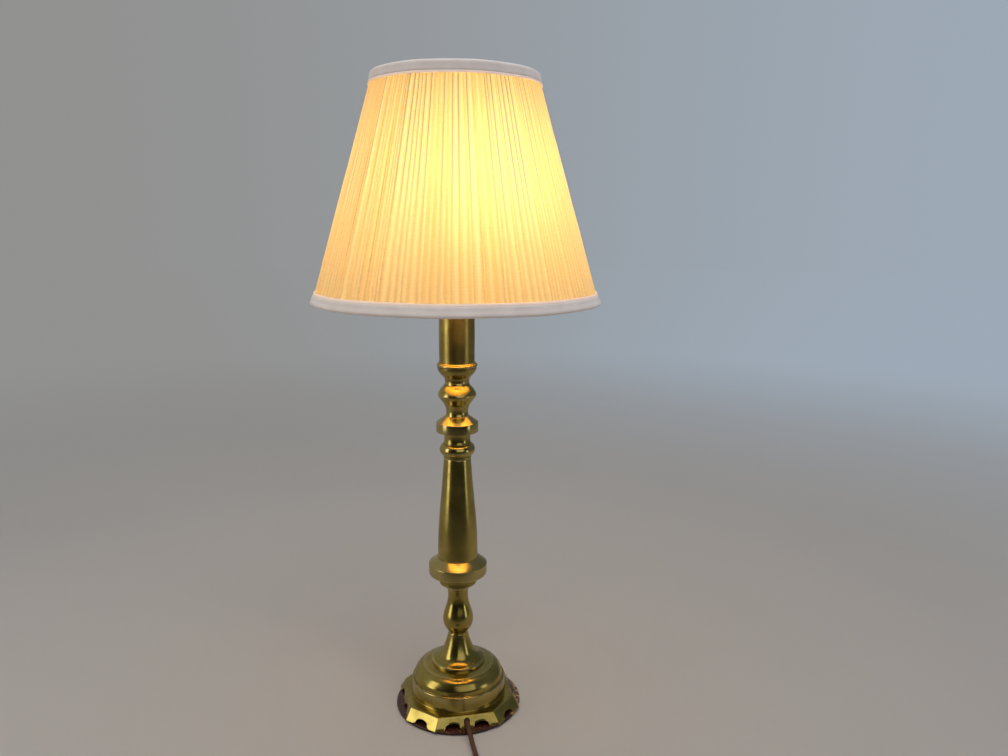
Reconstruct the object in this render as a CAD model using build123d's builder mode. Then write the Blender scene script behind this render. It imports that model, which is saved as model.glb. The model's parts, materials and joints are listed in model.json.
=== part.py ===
from build123d import *
import math
import os

# Candlestick table lamp. Millimetres and degrees. The lamp stands on z = 0, its stem is the Z axis,
# and the side that the lead leaves from looks along -Y.

# --- foot -----------------------------------------------------------------------------------------
DISC_RADIUS = 71.4
DISC_THICKNESS = 3.1
DISC_EDGE_RADIUS = 0.9
FOOT_TURN = 11.8  # the foot stands a little turned on the stem
FOOT_HEIGHT = 12.5
FOOT_BOTTOM_HALF_WIDTH = 64.6  # axis to the middle of a wide face
FOOT_BOTTOM_HALF_SIDE = 35.8  # half the length of a wide face
FOOT_TOP_HALF_WIDTH = 58.2
FOOT_TOP_HALF_SIDE = 30.9
FOOT_WALL = 2.8
FOOT_LIP_HEIGHT = 2.0  # raised ring that centres the dome
FOOT_LIP_WIDTH = 3.0
ARCH_WIDTH = 18.0
ARCH_HEIGHT = 6.0
ARCH_TOE_RADIUS = 3.2
ARCH_OFFSET = 16.3  # of the two arches of a wide face from its middle
LEAD_HOLE_RADIUS = 3.4
LEAD_HOLE_HEIGHT = 6.9  # above the base disc

# --- dome and pedestal ----------------------------------------------------------------------------
DOME_RADIUS = 54.3
DOME_HEIGHT = 35.4
DOME_WALL = 2.2
DOME_TOP_WALL = 4.0
DOME_SKIRT_HEIGHT = 17.0
DOME_SKIRT_RADIUS = 53.2  # at the skirt's top
DOME_GROOVE_RADIUS = 50.6
DOME_GROOVE_WIDTH = 2.0
DOME_SHOULDER_RADIUS = 50.95  # where the shoulder leaves the groove
DOME_CROWN_RADIUS = 47.5  # half way round the shoulder
DOME_CROWN_HEIGHT = 27.7
DOME_STEP_RADIUS = 41.2
DOME_STEP_DROP = 2.2  # of the step's edge below the seat of the pedestal
DOME_STEP_EDGE = 0.8
PEDESTAL_RADIUS = 30.8
PEDESTAL_RIM = 3.4
PEDESTAL_HEIGHT = 35.6
PEDESTAL_FLARE_RADIUS = 23.5
PEDESTAL_FLARE_HEIGHT = 5.9
PEDESTAL_WAIST_RADIUS = 15.5
PEDESTAL_WAIST_HEIGHT = 18.5
PEDESTAL_NECK_RADIUS = 11.2
SEAT_RELIEF = 0.5  # radius taken off an edge that meets the next turning

# --- baluster and lower collar --------------------------------------------------------------------
BALUSTER_HEIGHT = 53.4
BALUSTER_PROFILE = [  # radius and height above its foot
    (11.0, 0.0),
    (11.5, 2.0),
    (13.6, 5.0),
    (16.0, 9.4),
    (17.25, 16.0),
    (15.0, 27.4),
    (12.2, 36.9),
    (11.35, 45.4),
    (12.0, 53.4),
]
LOWER_COLLAR_HEIGHT = 37.8
LOWER_SEAT_RADIUS = 12.6
LOWER_BEAD_RADIUS = 14.2
LOWER_BEAD_HEIGHT = 6.2
LOWER_RING_RADIUS = 20.9
LOWER_RING_HEIGHT = 11.6
LOWER_RING_COVE = 0.5  # how far the ring is hollowed between its edges
LOWER_DRUM_RADIUS = 32.65
LOWER_DRUM_HEIGHT = 13.2
LOWER_DRUM_UNDERCUT = 2.2  # of the drum's rounded lower edge
LOWER_DRUM_EDGE = 0.5
LOWER_CONE_RADIUS = 22.9

# --- column, bead, upper collar, knop and cup -----------------------------------------------------
COLUMN_HEIGHT = 115.2
COLUMN_FOOT_RADIUS = 22.3
COLUMN_MIDDLE_RADIUS = 19.3
COLUMN_MIDDLE_HEIGHT = 61.5
COLUMN_UPPER_RADIUS = 16.7
COLUMN_UPPER_HEIGHT = 90.7
COLUMN_TOP_RADIUS = 14.9
COLUMN_WALL = 4.0
BEAD_HEIGHT = 28.0
BEAD_RADIUS = 19.5
BEAD_EDGE_RADIUS = 15.2
BEAD_CENTRE = 10.2
BEAD_WIDTH = 13.4
BEAD_COVE_RADIUS = 14.2
UPPER_COLLAR_HEIGHT = 20.0
UPPER_PLINTH_RADIUS = 16.0
UPPER_PLINTH_HEIGHT = 2.2
UPPER_DRUM_RADIUS = 23.0
UPPER_DRUM_HEIGHT = 10.4
UPPER_CONE_RADIUS = 13.0
KNOP_HEIGHT = 37.0
KNOP_PROFILE = [  # radius and height above its foot
    (12.6, 0.0),
    (11.9, 3.6),
    (12.2, 7.0),
    (13.4, 10.9),
    (15.7, 14.9),
    (18.8, 19.0),
    (20.9, 23.4),
    (19.9, 26.4),
    (18.3, 29.2),
    (16.2, 31.7),
    (14.0, 34.3),
    (13.2, 37.0),
]
CUP_HEIGHT = 22.0
CUP_PROFILE = [  # radius and height above its foot, up to the lip
    (13.2, 0.0),
    (13.3, 2.4),
    (14.4, 5.3),
    (17.1, 8.4),
    (19.9, 11.9),
    (21.1, 15.0),
    (21.3, 17.2),
]
CUP_LIP_RADIUS = 22.2
CUP_LIP_HEIGHT = 3.4
CUP_EDGE_WIDTH = 0.9  # of the cup's wall at its top
CUP_RECESS = 7.4

# --- neck tube and rod ----------------------------------------------------------------------------
TUBE_RADIUS = 19.15
TUBE_WALL = 1.4
TUBE_LENGTH = 67.4
TUBE_FIT = 0.15
TUBE_CAP_THICKNESS = 2.2
TUBE_CAP_OVERHANG = 0.5
TUBE_CAP_SPIGOT = 3.0
ROD_RADIUS = 4.95
ROD_BORE_RADIUS = 3.2
ROD_FIT = 0.3
ROD_BELOW_NUT = 3.4
NUT_HALF_WIDTH = 7.2
NUT_HEIGHT = 4.2
THREAD_FIT = 0.05
WASHER_RADIUS = 13.0
WASHER_THICKNESS = 1.6

# --- harp -----------------------------------------------------------------------------------------
SADDLE_THICKNESS = 1.5
SADDLE_WIDTH = 13.0
SADDLE_HALF_SPAN = 26.0  # axis to the inner face of an ear
SADDLE_EAR_HEIGHT = 14.0
SADDLE_TONGUE_WIDTH = 4.6
SADDLE_TONGUE_HEIGHT = 10.0
SADDLE_BEND_RADIUS = 3.0
HARP_WIRE_RADIUS = 1.6
HARP_WIRE_GAP = 0.3  # between an ear's tongue and the wire beside it
HARP_HEIGHT = 208.3  # saddle to the seat of the shade
HARP_HALF_WIDTH = 57.5
HARP_LEG_STRAIGHT = 24.0
HARP_FLARE_RISE = 53.0
HARP_SHOULDER_RISE = 48.3
HARP_TOP_HALF_WIDTH = 26.0
HARP_SEAT_RADIUS = 6.5
HARP_SEAT_THICKNESS = 2.4
STUD_RADIUS = 3.175
STUD_HEIGHT = 12.7
FERRULE_RADIUS = 4.4
FERRULE_BORE_RADIUS = 3.5
FERRULE_HEIGHT = 13.0

# --- socket and switch ----------------------------------------------------------------------------
SOCKET_HUB_RADIUS = 7.6
SOCKET_HUB_HEIGHT = 3.4
SOCKET_CAP_RADIUS = 17.4
SOCKET_CAP_WALL = 0.8
SOCKET_CAP_FLARE = 6.4
SOCKET_CAP_HEIGHT = 17.0
SOCKET_SHELL_WALL = 0.6
SOCKET_SHELL_LENGTH = 42.0
SOCKET_SHELL_OVERLAP = 6.0
SOCKET_LIP = 0.7
SOCKET_FIT = 0.2
INSULATOR_WALL = 0.5
INSULATOR_RECESS = 1.5  # of the sleeve's edge below the shell's
SOCKET_BODY_HEIGHT = 17.0
SCREW_SHELL_WALL = 0.4
SCREW_SHELL_LENGTH = 20.0
CONTACT_WIDTH = 5.0
CONTACT_THICKNESS = 0.6
CONTACT_RISE = 2.2
TERMINAL_RADIUS = 2.8
TERMINAL_THICKNESS = 1.4
TERMINAL_SPACING = 15.0
SWITCH_HEIGHT = 9.0  # of the shaft above the foot of the socket body
SWITCH_SHAFT_RADIUS = 2.4
SWITCH_SHAFT_IN_BODY = 9.0
SWITCH_SHAFT_IN_KNOB = 5.0
SWITCH_FIT = 0.05
SWITCH_HOLE_CLEARANCE = 0.8
KNOB_GAP = 1.6
KNOB_LENGTH = 16.0
KNOB_COLLAR_RADIUS = 4.6
KNOB_COLLAR_LENGTH = 6.0
KNOB_PADDLE_START = 8.2
KNOB_PADDLE_WIDTH = 15.0
KNOB_PADDLE_THICKNESS = 4.4

# --- bulb -----------------------------------------------------------------------------------------
BULB_RADIUS = 30.0
BULB_LENGTH = 109.0
BULB_GLASS_WALL = 1.0
BULB_NECK_RADIUS = 12.6
BULB_BASE_RADIUS = 13.0  # over the thread's crests
BULB_BASE_LENGTH = 19.0
BULB_THREAD_PITCH = 3.63
BULB_THREAD_DEPTH = 0.9
BULB_BASE_WALL = 0.5
BULB_INSULATOR_HEIGHT = 4.0
BULB_TIP_RADIUS = 4.6
BULB_TIP_HEIGHT = 1.4
BULB_STEM_RADIUS = 4.4
BULB_STEM_LENGTH = 40.0
BULB_FILAMENT_WIDTH = 22.0
BULB_WIRE_RADIUS = 0.5

# --- shade ----------------------------------------------------------------------------------------
SHADE_TOP_RADIUS = 85.7  # over the trim
SHADE_BOTTOM_RADIUS = 152.8
SHADE_HEIGHT = 232.5
SHADE_RISE = 20.7  # of the shade's top edge above the seat on the harp
SHADE_TRIM_HEIGHT = 13.0
SHADE_TRIM_THICKNESS = 1.3
SHADE_TRIM_TURN_IN = 9.0
SHADE_FOLD = 1.6  # cloth over the edge
SHADE_GAP = 0.2
PLEAT_COUNT = 144
PLEAT_DEPTH = 1.5
PLEAT_BACK = 0.7  # cloth behind the valleys
LINER_THICKNESS = 0.8
RING_WIRE_RADIUS = 1.2
SPIDER_ARMS = 3
SPIDER_WIRE_RADIUS = 1.5
SPIDER_HUB_RADIUS = 11.5
SPIDER_ARM_START = 8.8
SPIDER_HUB_THICKNESS = 1.6
SPIDER_HOLE_RADIUS = 3.6
SPIDER_RISE_RADIUS = 66.0
SPIDER_BEND_RADIUS = 9.0
SPIDER_SEAT_GAP = 0.3

# --- finial ---------------------------------------------------------------------------------------
FINIAL_HEIGHT = 27.0
FINIAL_BASE_RADIUS = 7.4
FINIAL_BASE_HEIGHT = 2.4
FINIAL_NECK_RADIUS = 4.9
FINIAL_NECK_HEIGHT = 8.0
FINIAL_BALL_RADIUS = 7.0
FINIAL_TIP_RADIUS = 2.0
FINIAL_GAP = 0.3
FINIAL_BORE_SPARE = 1.0

# --- lead, its coil and the plug ------------------------------------------------------------------
LEAD_RADIUS = 2.6  # half the width of the flat twin lead
LEAD_LIFT = 0.05  # of the lead above the floor
LEAD_BEND_RADIUS = 21.0
COIL_START = (30.0, -172.0)
COIL_RADIUS = 41.5  # of the outermost turn of the lower layer
COIL_PITCH = 5.8
COIL_HALF_TURNS = 7  # in each layer
LEAD_SIDES = 8
RUN_REACH = 14.8  # straight out of the hole
RUN_DROP = 0.7
RUN_POINTS = [  # then down to the floor and on to the coil
    (19.6, -91.0, 4.2),
    (24.6, -110.0, 2.65),
    (28.8, -131.0, 2.65),
    (30.0, -152.0, 2.65),
]
TAIL_STEPS = [(0.0, -12.0), (3.0, -12.0), (6.5, -12.5)]  # from the coil's end to the plug
PLUG_LENGTH = 30.0
PLUG_WIDTH = 24.0
PLUG_HEIGHT = 16.6
PLUG_TAIL_WIDTH = 9.0
PLUG_TAIL_HEIGHT = 8.0
PLUG_TAIL_LENGTH = 9.0
PLUG_EDGE_RADIUS = 2.0
BLADE_SPACING = 12.7
BLADE_THICKNESS = 1.5
BLADE_WIDTHS = (6.35, 7.9)
BLADE_LENGTH = 17.0
BLADE_HOLE_RADIUS = 1.6
BLADE_SEAT = 5.0

# --- heights of the stack, from the floor up ------------------------------------------------------
foot_top = DISC_THICKNESS + FOOT_HEIGHT
dome_top = foot_top + DOME_HEIGHT
pedestal_top = dome_top + PEDESTAL_HEIGHT
baluster_top = pedestal_top + BALUSTER_HEIGHT
lower_collar_top = baluster_top + LOWER_COLLAR_HEIGHT
column_top = lower_collar_top + COLUMN_HEIGHT
bead_top = column_top + BEAD_HEIGHT
upper_collar_top = bead_top + UPPER_COLLAR_HEIGHT
knop_top = upper_collar_top + KNOP_HEIGHT
cup_top = knop_top + CUP_HEIGHT
tube_bottom = cup_top - CUP_RECESS
tube_top = tube_bottom + TUBE_LENGTH
tube_cap_top = tube_top + TUBE_CAP_THICKNESS
top_nut_top = tube_cap_top + NUT_HEIGHT
saddle_top = top_nut_top + SADDLE_THICKNESS
washer_bottom = dome_top - DOME_TOP_WALL - WASHER_THICKNESS
rod_bottom = washer_bottom - NUT_HEIGHT - ROD_BELOW_NUT
rod_top = saddle_top + SOCKET_HUB_HEIGHT
rod_hole = ROD_RADIUS + ROD_FIT
harp_seat = saddle_top + HARP_HEIGHT

os.makedirs("parts", exist_ok=True)


def save(piece, label):
    """Labels a finished piece and writes it under that name."""
    piece.part.label = label
    export_step(piece.part, f"parts/{label}.step")


def disc(radius, height, bottom, hole=0.0):
    """A round plate with its underside at that height, with a hole through its middle."""
    with BuildSketch(Plane.XY.offset(bottom)) as section:
        Circle(radius)
        if hole:
            Circle(hole, mode=Mode.SUBTRACT)
    extrude(section.sketch, amount=height)


# --- base disc ------------------------------------------------------------------------------------
with BuildPart() as base_disc:
    disc(DISC_RADIUS, DISC_THICKNESS, 0.0)
    fillet(base_disc.edges().filter_by(GeomType.CIRCLE), radius=DISC_EDGE_RADIUS)
save(base_disc, "base_disc")


# --- foot plate: a square with canted corners, flared, hollow, with arches along its lower edge ---
def canted_square(half_width, half_side, inset=0.0):
    """The foot's outline at one height; an inset moves every face in by the same amount."""
    w = half_width - inset
    s = half_side - inset * math.tan(math.radians(22.5))
    Polygon(
        *[(s, -w), (w, -s), (w, s), (s, w), (-s, w), (-w, s), (-w, -s), (-s, -w)], align=None
    )


def foot_plane(height):
    """The plane across the foot at that height, turned as the foot is."""
    return Plane.XY.offset(height).rotated((0, 0, FOOT_TURN))


def face_plane(angle, distance, height):
    """A plane square to the foot's face at that angle, with its normal pointing outwards."""
    turn = math.radians(angle + FOOT_TURN)
    outwards = Vector(math.cos(turn), math.sin(turn), 0)
    along = Vector(-math.sin(turn), math.cos(turn), 0)
    return Plane(origin=outwards * distance + Vector(0, 0, height), x_dir=along, z_dir=outwards)


def arch(middle):
    """The outline of one scalloped arch: two rounded toes and a low crown between them."""
    half = ARCH_WIDTH / 2
    shoulder = half - ARCH_TOE_RADIUS
    toe = ARCH_TOE_RADIUS * math.sqrt(0.5)
    flat = ARCH_TOE_RADIUS - toe
    with BuildLine() as outline:
        Polyline(
            (middle - half, 0),
            (middle - half, -ARCH_HEIGHT),
            (middle + half, -ARCH_HEIGHT),
            (middle + half, 0),
        )
        ThreePointArc(
            (middle + half, 0), (middle + half - toe, flat), (middle + shoulder, ARCH_TOE_RADIUS)
        )
        ThreePointArc(
            (middle + shoulder, ARCH_TOE_RADIUS),
            (middle, ARCH_HEIGHT),
            (middle - shoulder, ARCH_TOE_RADIUS),
        )
        ThreePointArc(
            (middle - shoulder, ARCH_TOE_RADIUS), (middle - half + toe, flat), (middle - half, 0)
        )
    make_face(outline.edges())


foot_slope = (FOOT_BOTTOM_HALF_WIDTH - FOOT_TOP_HALF_WIDTH) / FOOT_HEIGHT
canted_distance = (FOOT_BOTTOM_HALF_WIDTH + FOOT_BOTTOM_HALF_SIDE) / math.sqrt(2)
arch_reach = FOOT_WALL + ARCH_HEIGHT * foot_slope + 2.0
lip_radius = DOME_RADIUS - DOME_WALL - TUBE_FIT

with BuildPart() as foot_plate:
    with BuildSketch(foot_plane(DISC_THICKNESS)):
        canted_square(FOOT_BOTTOM_HALF_WIDTH, FOOT_BOTTOM_HALF_SIDE)
    with BuildSketch(foot_plane(foot_top)):
        canted_square(FOOT_TOP_HALF_WIDTH, FOOT_TOP_HALF_SIDE)
    loft(ruled=True)
    disc(lip_radius, FOOT_LIP_HEIGHT, foot_top)
    with BuildSketch(foot_plane(DISC_THICKNESS)):
        canted_square(FOOT_BOTTOM_HALF_WIDTH, FOOT_BOTTOM_HALF_SIDE, FOOT_WALL)
    with BuildSketch(foot_plane(foot_top - FOOT_WALL)):
        canted_square(
            FOOT_TOP_HALF_WIDTH + FOOT_WALL * foot_slope, FOOT_TOP_HALF_SIDE, FOOT_WALL
        )
    loft(ruled=True, mode=Mode.SUBTRACT)
    with BuildSketch(Plane.XY.offset(DISC_THICKNESS)):
        Circle(lip_radius - FOOT_LIP_WIDTH)
    extrude(amount=FOOT_HEIGHT + FOOT_LIP_HEIGHT, mode=Mode.SUBTRACT)
    for quarter in range(4):
        with BuildSketch(face_plane(90 * quarter, FOOT_BOTTOM_HALF_WIDTH, DISC_THICKNESS)):
            arch(-ARCH_OFFSET)
            arch(ARCH_OFFSET)
        extrude(amount=arch_reach, both=True, mode=Mode.SUBTRACT)
        with BuildSketch(face_plane(90 * quarter + 45, canted_distance, DISC_THICKNESS)):
            arch(0)
        extrude(amount=arch_reach, both=True, mode=Mode.SUBTRACT)
    with BuildSketch(
        face_plane(-90, FOOT_BOTTOM_HALF_WIDTH, DISC_THICKNESS + LEAD_HOLE_HEIGHT)
    ):
        Circle(LEAD_HOLE_RADIUS)
    extrude(amount=lip_radius - FOOT_LIP_WIDTH - FOOT_BOTTOM_HALF_WIDTH, mode=Mode.SUBTRACT)
save(foot_plate, "foot_plate")


# --- foot dome: a near-upright skirt, a groove, a rounded shoulder and a stepped top --------------
def dome_face(inset, top):
    """Half the dome's section; an inset draws the inside of its wall, up to that height."""
    skirt_top = foot_top + DOME_SKIRT_HEIGHT
    skirt_radius = DOME_SKIRT_RADIUS - inset
    shoulder_bottom = skirt_top + DOME_GROOVE_WIDTH
    shoulder_radius = DOME_SHOULDER_RADIUS - inset
    step_z = dome_top - DOME_STEP_DROP - inset
    with BuildSketch(Plane.XZ) as section:
        with BuildLine():
            Polyline(
                (0, foot_top), (DOME_RADIUS - inset, foot_top), (skirt_radius, skirt_top - inset)
            )
            if inset:
                Line((skirt_radius, skirt_top - inset), (shoulder_radius, shoulder_bottom))
            else:
                ThreePointArc(
                    (skirt_radius, skirt_top),
                    (DOME_GROOVE_RADIUS, skirt_top + DOME_GROOVE_WIDTH / 2),
                    (shoulder_radius, shoulder_bottom),
                )
            Spline(
                (shoulder_radius, shoulder_bottom),
                (DOME_CROWN_RADIUS - 0.8 * inset, foot_top + DOME_CROWN_HEIGHT - 0.6 * inset),
                (DOME_STEP_RADIUS, step_z - DOME_STEP_EDGE),
                tangents=[(0, 1), (-1, 0.3)],
            )
            Polyline(
                (DOME_STEP_RADIUS, step_z - DOME_STEP_EDGE),
                (DOME_STEP_RADIUS - DOME_STEP_EDGE, step_z),
                (PEDESTAL_RADIUS, top),
                (0, top),
                (0, foot_top),
            )
        make_face()
    revolve(section.sketch, axis=Axis.Z, mode=Mode.ADD if inset == 0 else Mode.SUBTRACT)


with BuildPart() as foot_dome:
    dome_face(0, dome_top)
    dome_face(DOME_WALL, dome_top - DOME_TOP_WALL)
    with Locations((0, 0, dome_top)):
        Hole(rod_hole, DOME_TOP_WALL)
save(foot_dome, "foot_dome")


# --- turned pieces of the stem, each bored for the rod --------------------------------------------
with BuildPart() as pedestal:
    with BuildSketch(Plane.XZ):
        with BuildLine():
            Polyline(
                (rod_hole, dome_top),
                (PEDESTAL_RADIUS, dome_top),
                (PEDESTAL_RADIUS, dome_top + PEDESTAL_RIM),
                (PEDESTAL_RADIUS - 1.0, dome_top + PEDESTAL_RIM + 0.7),
                (PEDESTAL_FLARE_RADIUS, dome_top + PEDESTAL_FLARE_HEIGHT),
            )
            Spline(
                (PEDESTAL_FLARE_RADIUS, dome_top + PEDESTAL_FLARE_HEIGHT),
                (PEDESTAL_WAIST_RADIUS, dome_top + PEDESTAL_WAIST_HEIGHT),
                (PEDESTAL_NECK_RADIUS, pedestal_top - SEAT_RELIEF),
                tangents=[(-1, 0.3), (-0.22, 1)],
            )
            Polyline(
                (PEDESTAL_NECK_RADIUS, pedestal_top - SEAT_RELIEF),
                (PEDESTAL_NECK_RADIUS - SEAT_RELIEF, pedestal_top),
                (rod_hole, pedestal_top),
                (rod_hole, dome_top),
            )
        make_face()
    revolve(axis=Axis.Z)
save(pedestal, "pedestal")


def turned(profile, foot):
    """A turning bored for the rod; the profile gives radii and heights above its foot."""
    outline = [(radius, foot + height) for radius, height in profile]
    with BuildSketch(Plane.XZ) as section:
        with BuildLine():
            Line((rod_hole, outline[0][1]), outline[0])
            Spline(*outline)
            Polyline(outline[-1], (rod_hole, outline[-1][1]), (rod_hole, outline[0][1]))
        make_face()
    revolve(section.sketch, axis=Axis.Z)


with BuildPart() as baluster:
    turned(BALUSTER_PROFILE, pedestal_top)
save(baluster, "baluster")

ring_bottom = baluster_top + LOWER_BEAD_HEIGHT
drum_bottom = ring_bottom + LOWER_RING_HEIGHT
drum_top = drum_bottom + LOWER_DRUM_HEIGHT
drum_inner = LOWER_DRUM_RADIUS - LOWER_DRUM_EDGE

with BuildPart() as lower_collar:
    with BuildSketch(Plane.XZ):
        with BuildLine():
            Line((rod_hole, baluster_top), (LOWER_SEAT_RADIUS, baluster_top))
            ThreePointArc(
                (LOWER_SEAT_RADIUS, baluster_top),
                (LOWER_BEAD_RADIUS, baluster_top + LOWER_BEAD_HEIGHT / 2),
                (LOWER_SEAT_RADIUS, ring_bottom),
            )
            Polyline(
                (LOWER_SEAT_RADIUS, ring_bottom),
                (LOWER_RING_RADIUS - 2 * SEAT_RELIEF, ring_bottom),
                (LOWER_RING_RADIUS, ring_bottom + 2 * SEAT_RELIEF),
            )
            ThreePointArc(
                (LOWER_RING_RADIUS, ring_bottom + 2 * SEAT_RELIEF),
                (LOWER_RING_RADIUS - LOWER_RING_COVE, ring_bottom + LOWER_RING_HEIGHT / 2),
                (LOWER_RING_RADIUS, drum_bottom),
            )
            Line(
                (LOWER_RING_RADIUS, drum_bottom),
                (LOWER_DRUM_RADIUS - LOWER_DRUM_UNDERCUT, drum_bottom),
            )
            ThreePointArc(
                (LOWER_DRUM_RADIUS - LOWER_DRUM_UNDERCUT, drum_bottom),
                (
                    LOWER_DRUM_RADIUS - 0.3 * LOWER_DRUM_UNDERCUT,
                    drum_bottom + 0.3 * LOWER_DRUM_UNDERCUT,
                ),
                (LOWER_DRUM_RADIUS, drum_bottom + LOWER_DRUM_UNDERCUT),
            )
            Polyline(
                (LOWER_DRUM_RADIUS, drum_bottom + LOWER_DRUM_UNDERCUT),
                (LOWER_DRUM_RADIUS, drum_top - LOWER_DRUM_EDGE),
                (drum_inner, drum_top),
                (LOWER_CONE_RADIUS, lower_collar_top),
                (rod_hole, lower_collar_top),
                (rod_hole, baluster_top),
            )
        make_face()
    revolve(axis=Axis.Z)
save(lower_collar, "lower_collar")


def column_face(inset, bottom, top):
    """Half the column's section; an inset draws the core that is left out of the casting."""
    with BuildSketch(Plane.XZ) as section:
        with BuildLine():
            Line((0, bottom), (COLUMN_FOOT_RADIUS - inset, bottom))
            Spline(
                (COLUMN_FOOT_RADIUS - inset, bottom),
                (COLUMN_MIDDLE_RADIUS - inset, lower_collar_top + COLUMN_MIDDLE_HEIGHT),
                (COLUMN_UPPER_RADIUS - inset, lower_collar_top + COLUMN_UPPER_HEIGHT),
                (COLUMN_TOP_RADIUS - inset, top),
                tangents=[(0, 1), (-0.11, 1)],
            )
            Polyline((COLUMN_TOP_RADIUS - inset, top), (0, top), (0, bottom))
        make_face()
    revolve(section.sketch, axis=Axis.Z, mode=Mode.ADD if inset == 0 else Mode.SUBTRACT)


with BuildPart() as tapered_column:
    column_face(0, lower_collar_top, column_top)
    column_face(COLUMN_WALL, lower_collar_top + COLUMN_WALL, column_top - COLUMN_WALL)
    with Locations((0, 0, column_top)):
        Hole(rod_hole, COLUMN_HEIGHT)
save(tapered_column, "tapered_column")

bead_bottom_edge = column_top + BEAD_CENTRE - BEAD_WIDTH / 2
bead_top_edge = column_top + BEAD_CENTRE + BEAD_WIDTH / 2

with BuildPart() as column_bead:
    with BuildSketch(Plane.XZ):
        with BuildLine():
            Polyline(
                (rod_hole, column_top),
                (BEAD_EDGE_RADIUS, column_top),
                (BEAD_EDGE_RADIUS, bead_bottom_edge),
            )
            ThreePointArc(
                (BEAD_EDGE_RADIUS, bead_bottom_edge),
                (BEAD_RADIUS, column_top + BEAD_CENTRE),
                (BEAD_EDGE_RADIUS, bead_top_edge),
            )
            ThreePointArc(
                (BEAD_EDGE_RADIUS, bead_top_edge),
                (BEAD_COVE_RADIUS, (bead_top_edge + bead_top) / 2),
                (BEAD_EDGE_RADIUS, bead_top),
            )
            Polyline(
                (BEAD_EDGE_RADIUS, bead_top), (rod_hole, bead_top), (rod_hole, column_top)
            )
        make_face()
    revolve(axis=Axis.Z)
save(column_bead, "column_bead")

with BuildPart() as upper_collar:
    with BuildSketch(Plane.XZ):
        with BuildLine():
            Polyline(
                (rod_hole, bead_top),
                (UPPER_PLINTH_RADIUS, bead_top),
                (UPPER_PLINTH_RADIUS, bead_top + UPPER_PLINTH_HEIGHT),
                (UPPER_DRUM_RADIUS, bead_top + UPPER_PLINTH_HEIGHT),
                (UPPER_DRUM_RADIUS, bead_top + UPPER_PLINTH_HEIGHT + UPPER_DRUM_HEIGHT),
                (UPPER_CONE_RADIUS, upper_collar_top),
                (rod_hole, upper_collar_top),
                (rod_hole, bead_top),
            )
        make_face()
    revolve(axis=Axis.Z)
save(upper_collar, "upper_collar")

with BuildPart() as knop:
    turned(KNOP_PROFILE, upper_collar_top)
save(knop, "knop")

cup_outline = [(radius, knop_top + height) for radius, height in CUP_PROFILE]
lip_bottom_radius, lip_bottom = cup_outline[-1]
lip_top = lip_bottom + CUP_LIP_HEIGHT
tube_recess_radius = TUBE_RADIUS + TUBE_FIT

with BuildPart() as candle_cup:
    with BuildSketch(Plane.XZ):
        with BuildLine():
            Line((rod_hole, knop_top), cup_outline[0])
            Spline(*cup_outline)
            ThreePointArc(
                cup_outline[-1],
                (CUP_LIP_RADIUS, (lip_bottom + lip_top) / 2),
                (lip_bottom_radius, lip_top),
            )
            Polyline(
                (lip_bottom_radius, lip_top),
                (tube_recess_radius + CUP_EDGE_WIDTH + SEAT_RELIEF, lip_top),
                (tube_recess_radius + CUP_EDGE_WIDTH, cup_top - SEAT_RELIEF),
                (tube_recess_radius + CUP_EDGE_WIDTH - SEAT_RELIEF, cup_top),
                (tube_recess_radius, cup_top),
                (tube_recess_radius, tube_bottom),
                (rod_hole, tube_bottom),
                (rod_hole, knop_top),
            )
        make_face()
    revolve(axis=Axis.Z)
save(candle_cup, "candle_cup")

# --- neck tube, its cap, and the rod with its nuts ------------------------------------------------
with BuildPart() as neck_tube:
    disc(TUBE_RADIUS, TUBE_LENGTH, tube_bottom, TUBE_RADIUS - TUBE_WALL)
save(neck_tube, "neck_tube")

with BuildPart() as tube_cap:
    disc(TUBE_RADIUS + TUBE_CAP_OVERHANG, TUBE_CAP_THICKNESS, tube_top, rod_hole)
    disc(
        TUBE_RADIUS - TUBE_WALL - TUBE_FIT, TUBE_CAP_SPIGOT, tube_top - TUBE_CAP_SPIGOT, rod_hole
    )
    top_edges = tube_cap.edges().filter_by(GeomType.CIRCLE).group_by(Axis.Z)[-1]
    fillet(top_edges.sort_by(SortBy.RADIUS)[-1], radius=0.7)
save(tube_cap, "tube_cap")

with BuildPart() as stem_rod:
    disc(ROD_RADIUS, rod_top - rod_bottom, rod_bottom, ROD_BORE_RADIUS)
save(stem_rod, "stem_rod")

with BuildPart() as rod_washer:
    disc(WASHER_RADIUS, WASHER_THICKNESS, washer_bottom, rod_hole)
save(rod_washer, "rod_washer")

with BuildPart() as rod_nuts:
    for nut_bottom in (washer_bottom - NUT_HEIGHT, tube_cap_top):
        with BuildSketch(Plane.XY.offset(nut_bottom)):
            RegularPolygon(NUT_HALF_WIDTH, 6, major_radius=False)
            Circle(ROD_RADIUS + THREAD_FIT, mode=Mode.SUBTRACT)
        extrude(amount=NUT_HEIGHT)
save(rod_nuts, "rod_nuts")

# --- harp: saddle, ferrules and wire --------------------------------------------------------------
ear_outside = SADDLE_HALF_SPAN + SADDLE_THICKNESS
wire_x = ear_outside + HARP_WIRE_GAP + HARP_WIRE_RADIUS
ferrule_x = ear_outside + HARP_WIRE_GAP / 2
ear_top = saddle_top + SADDLE_EAR_HEIGHT
ferrule_bottom = ear_top

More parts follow.
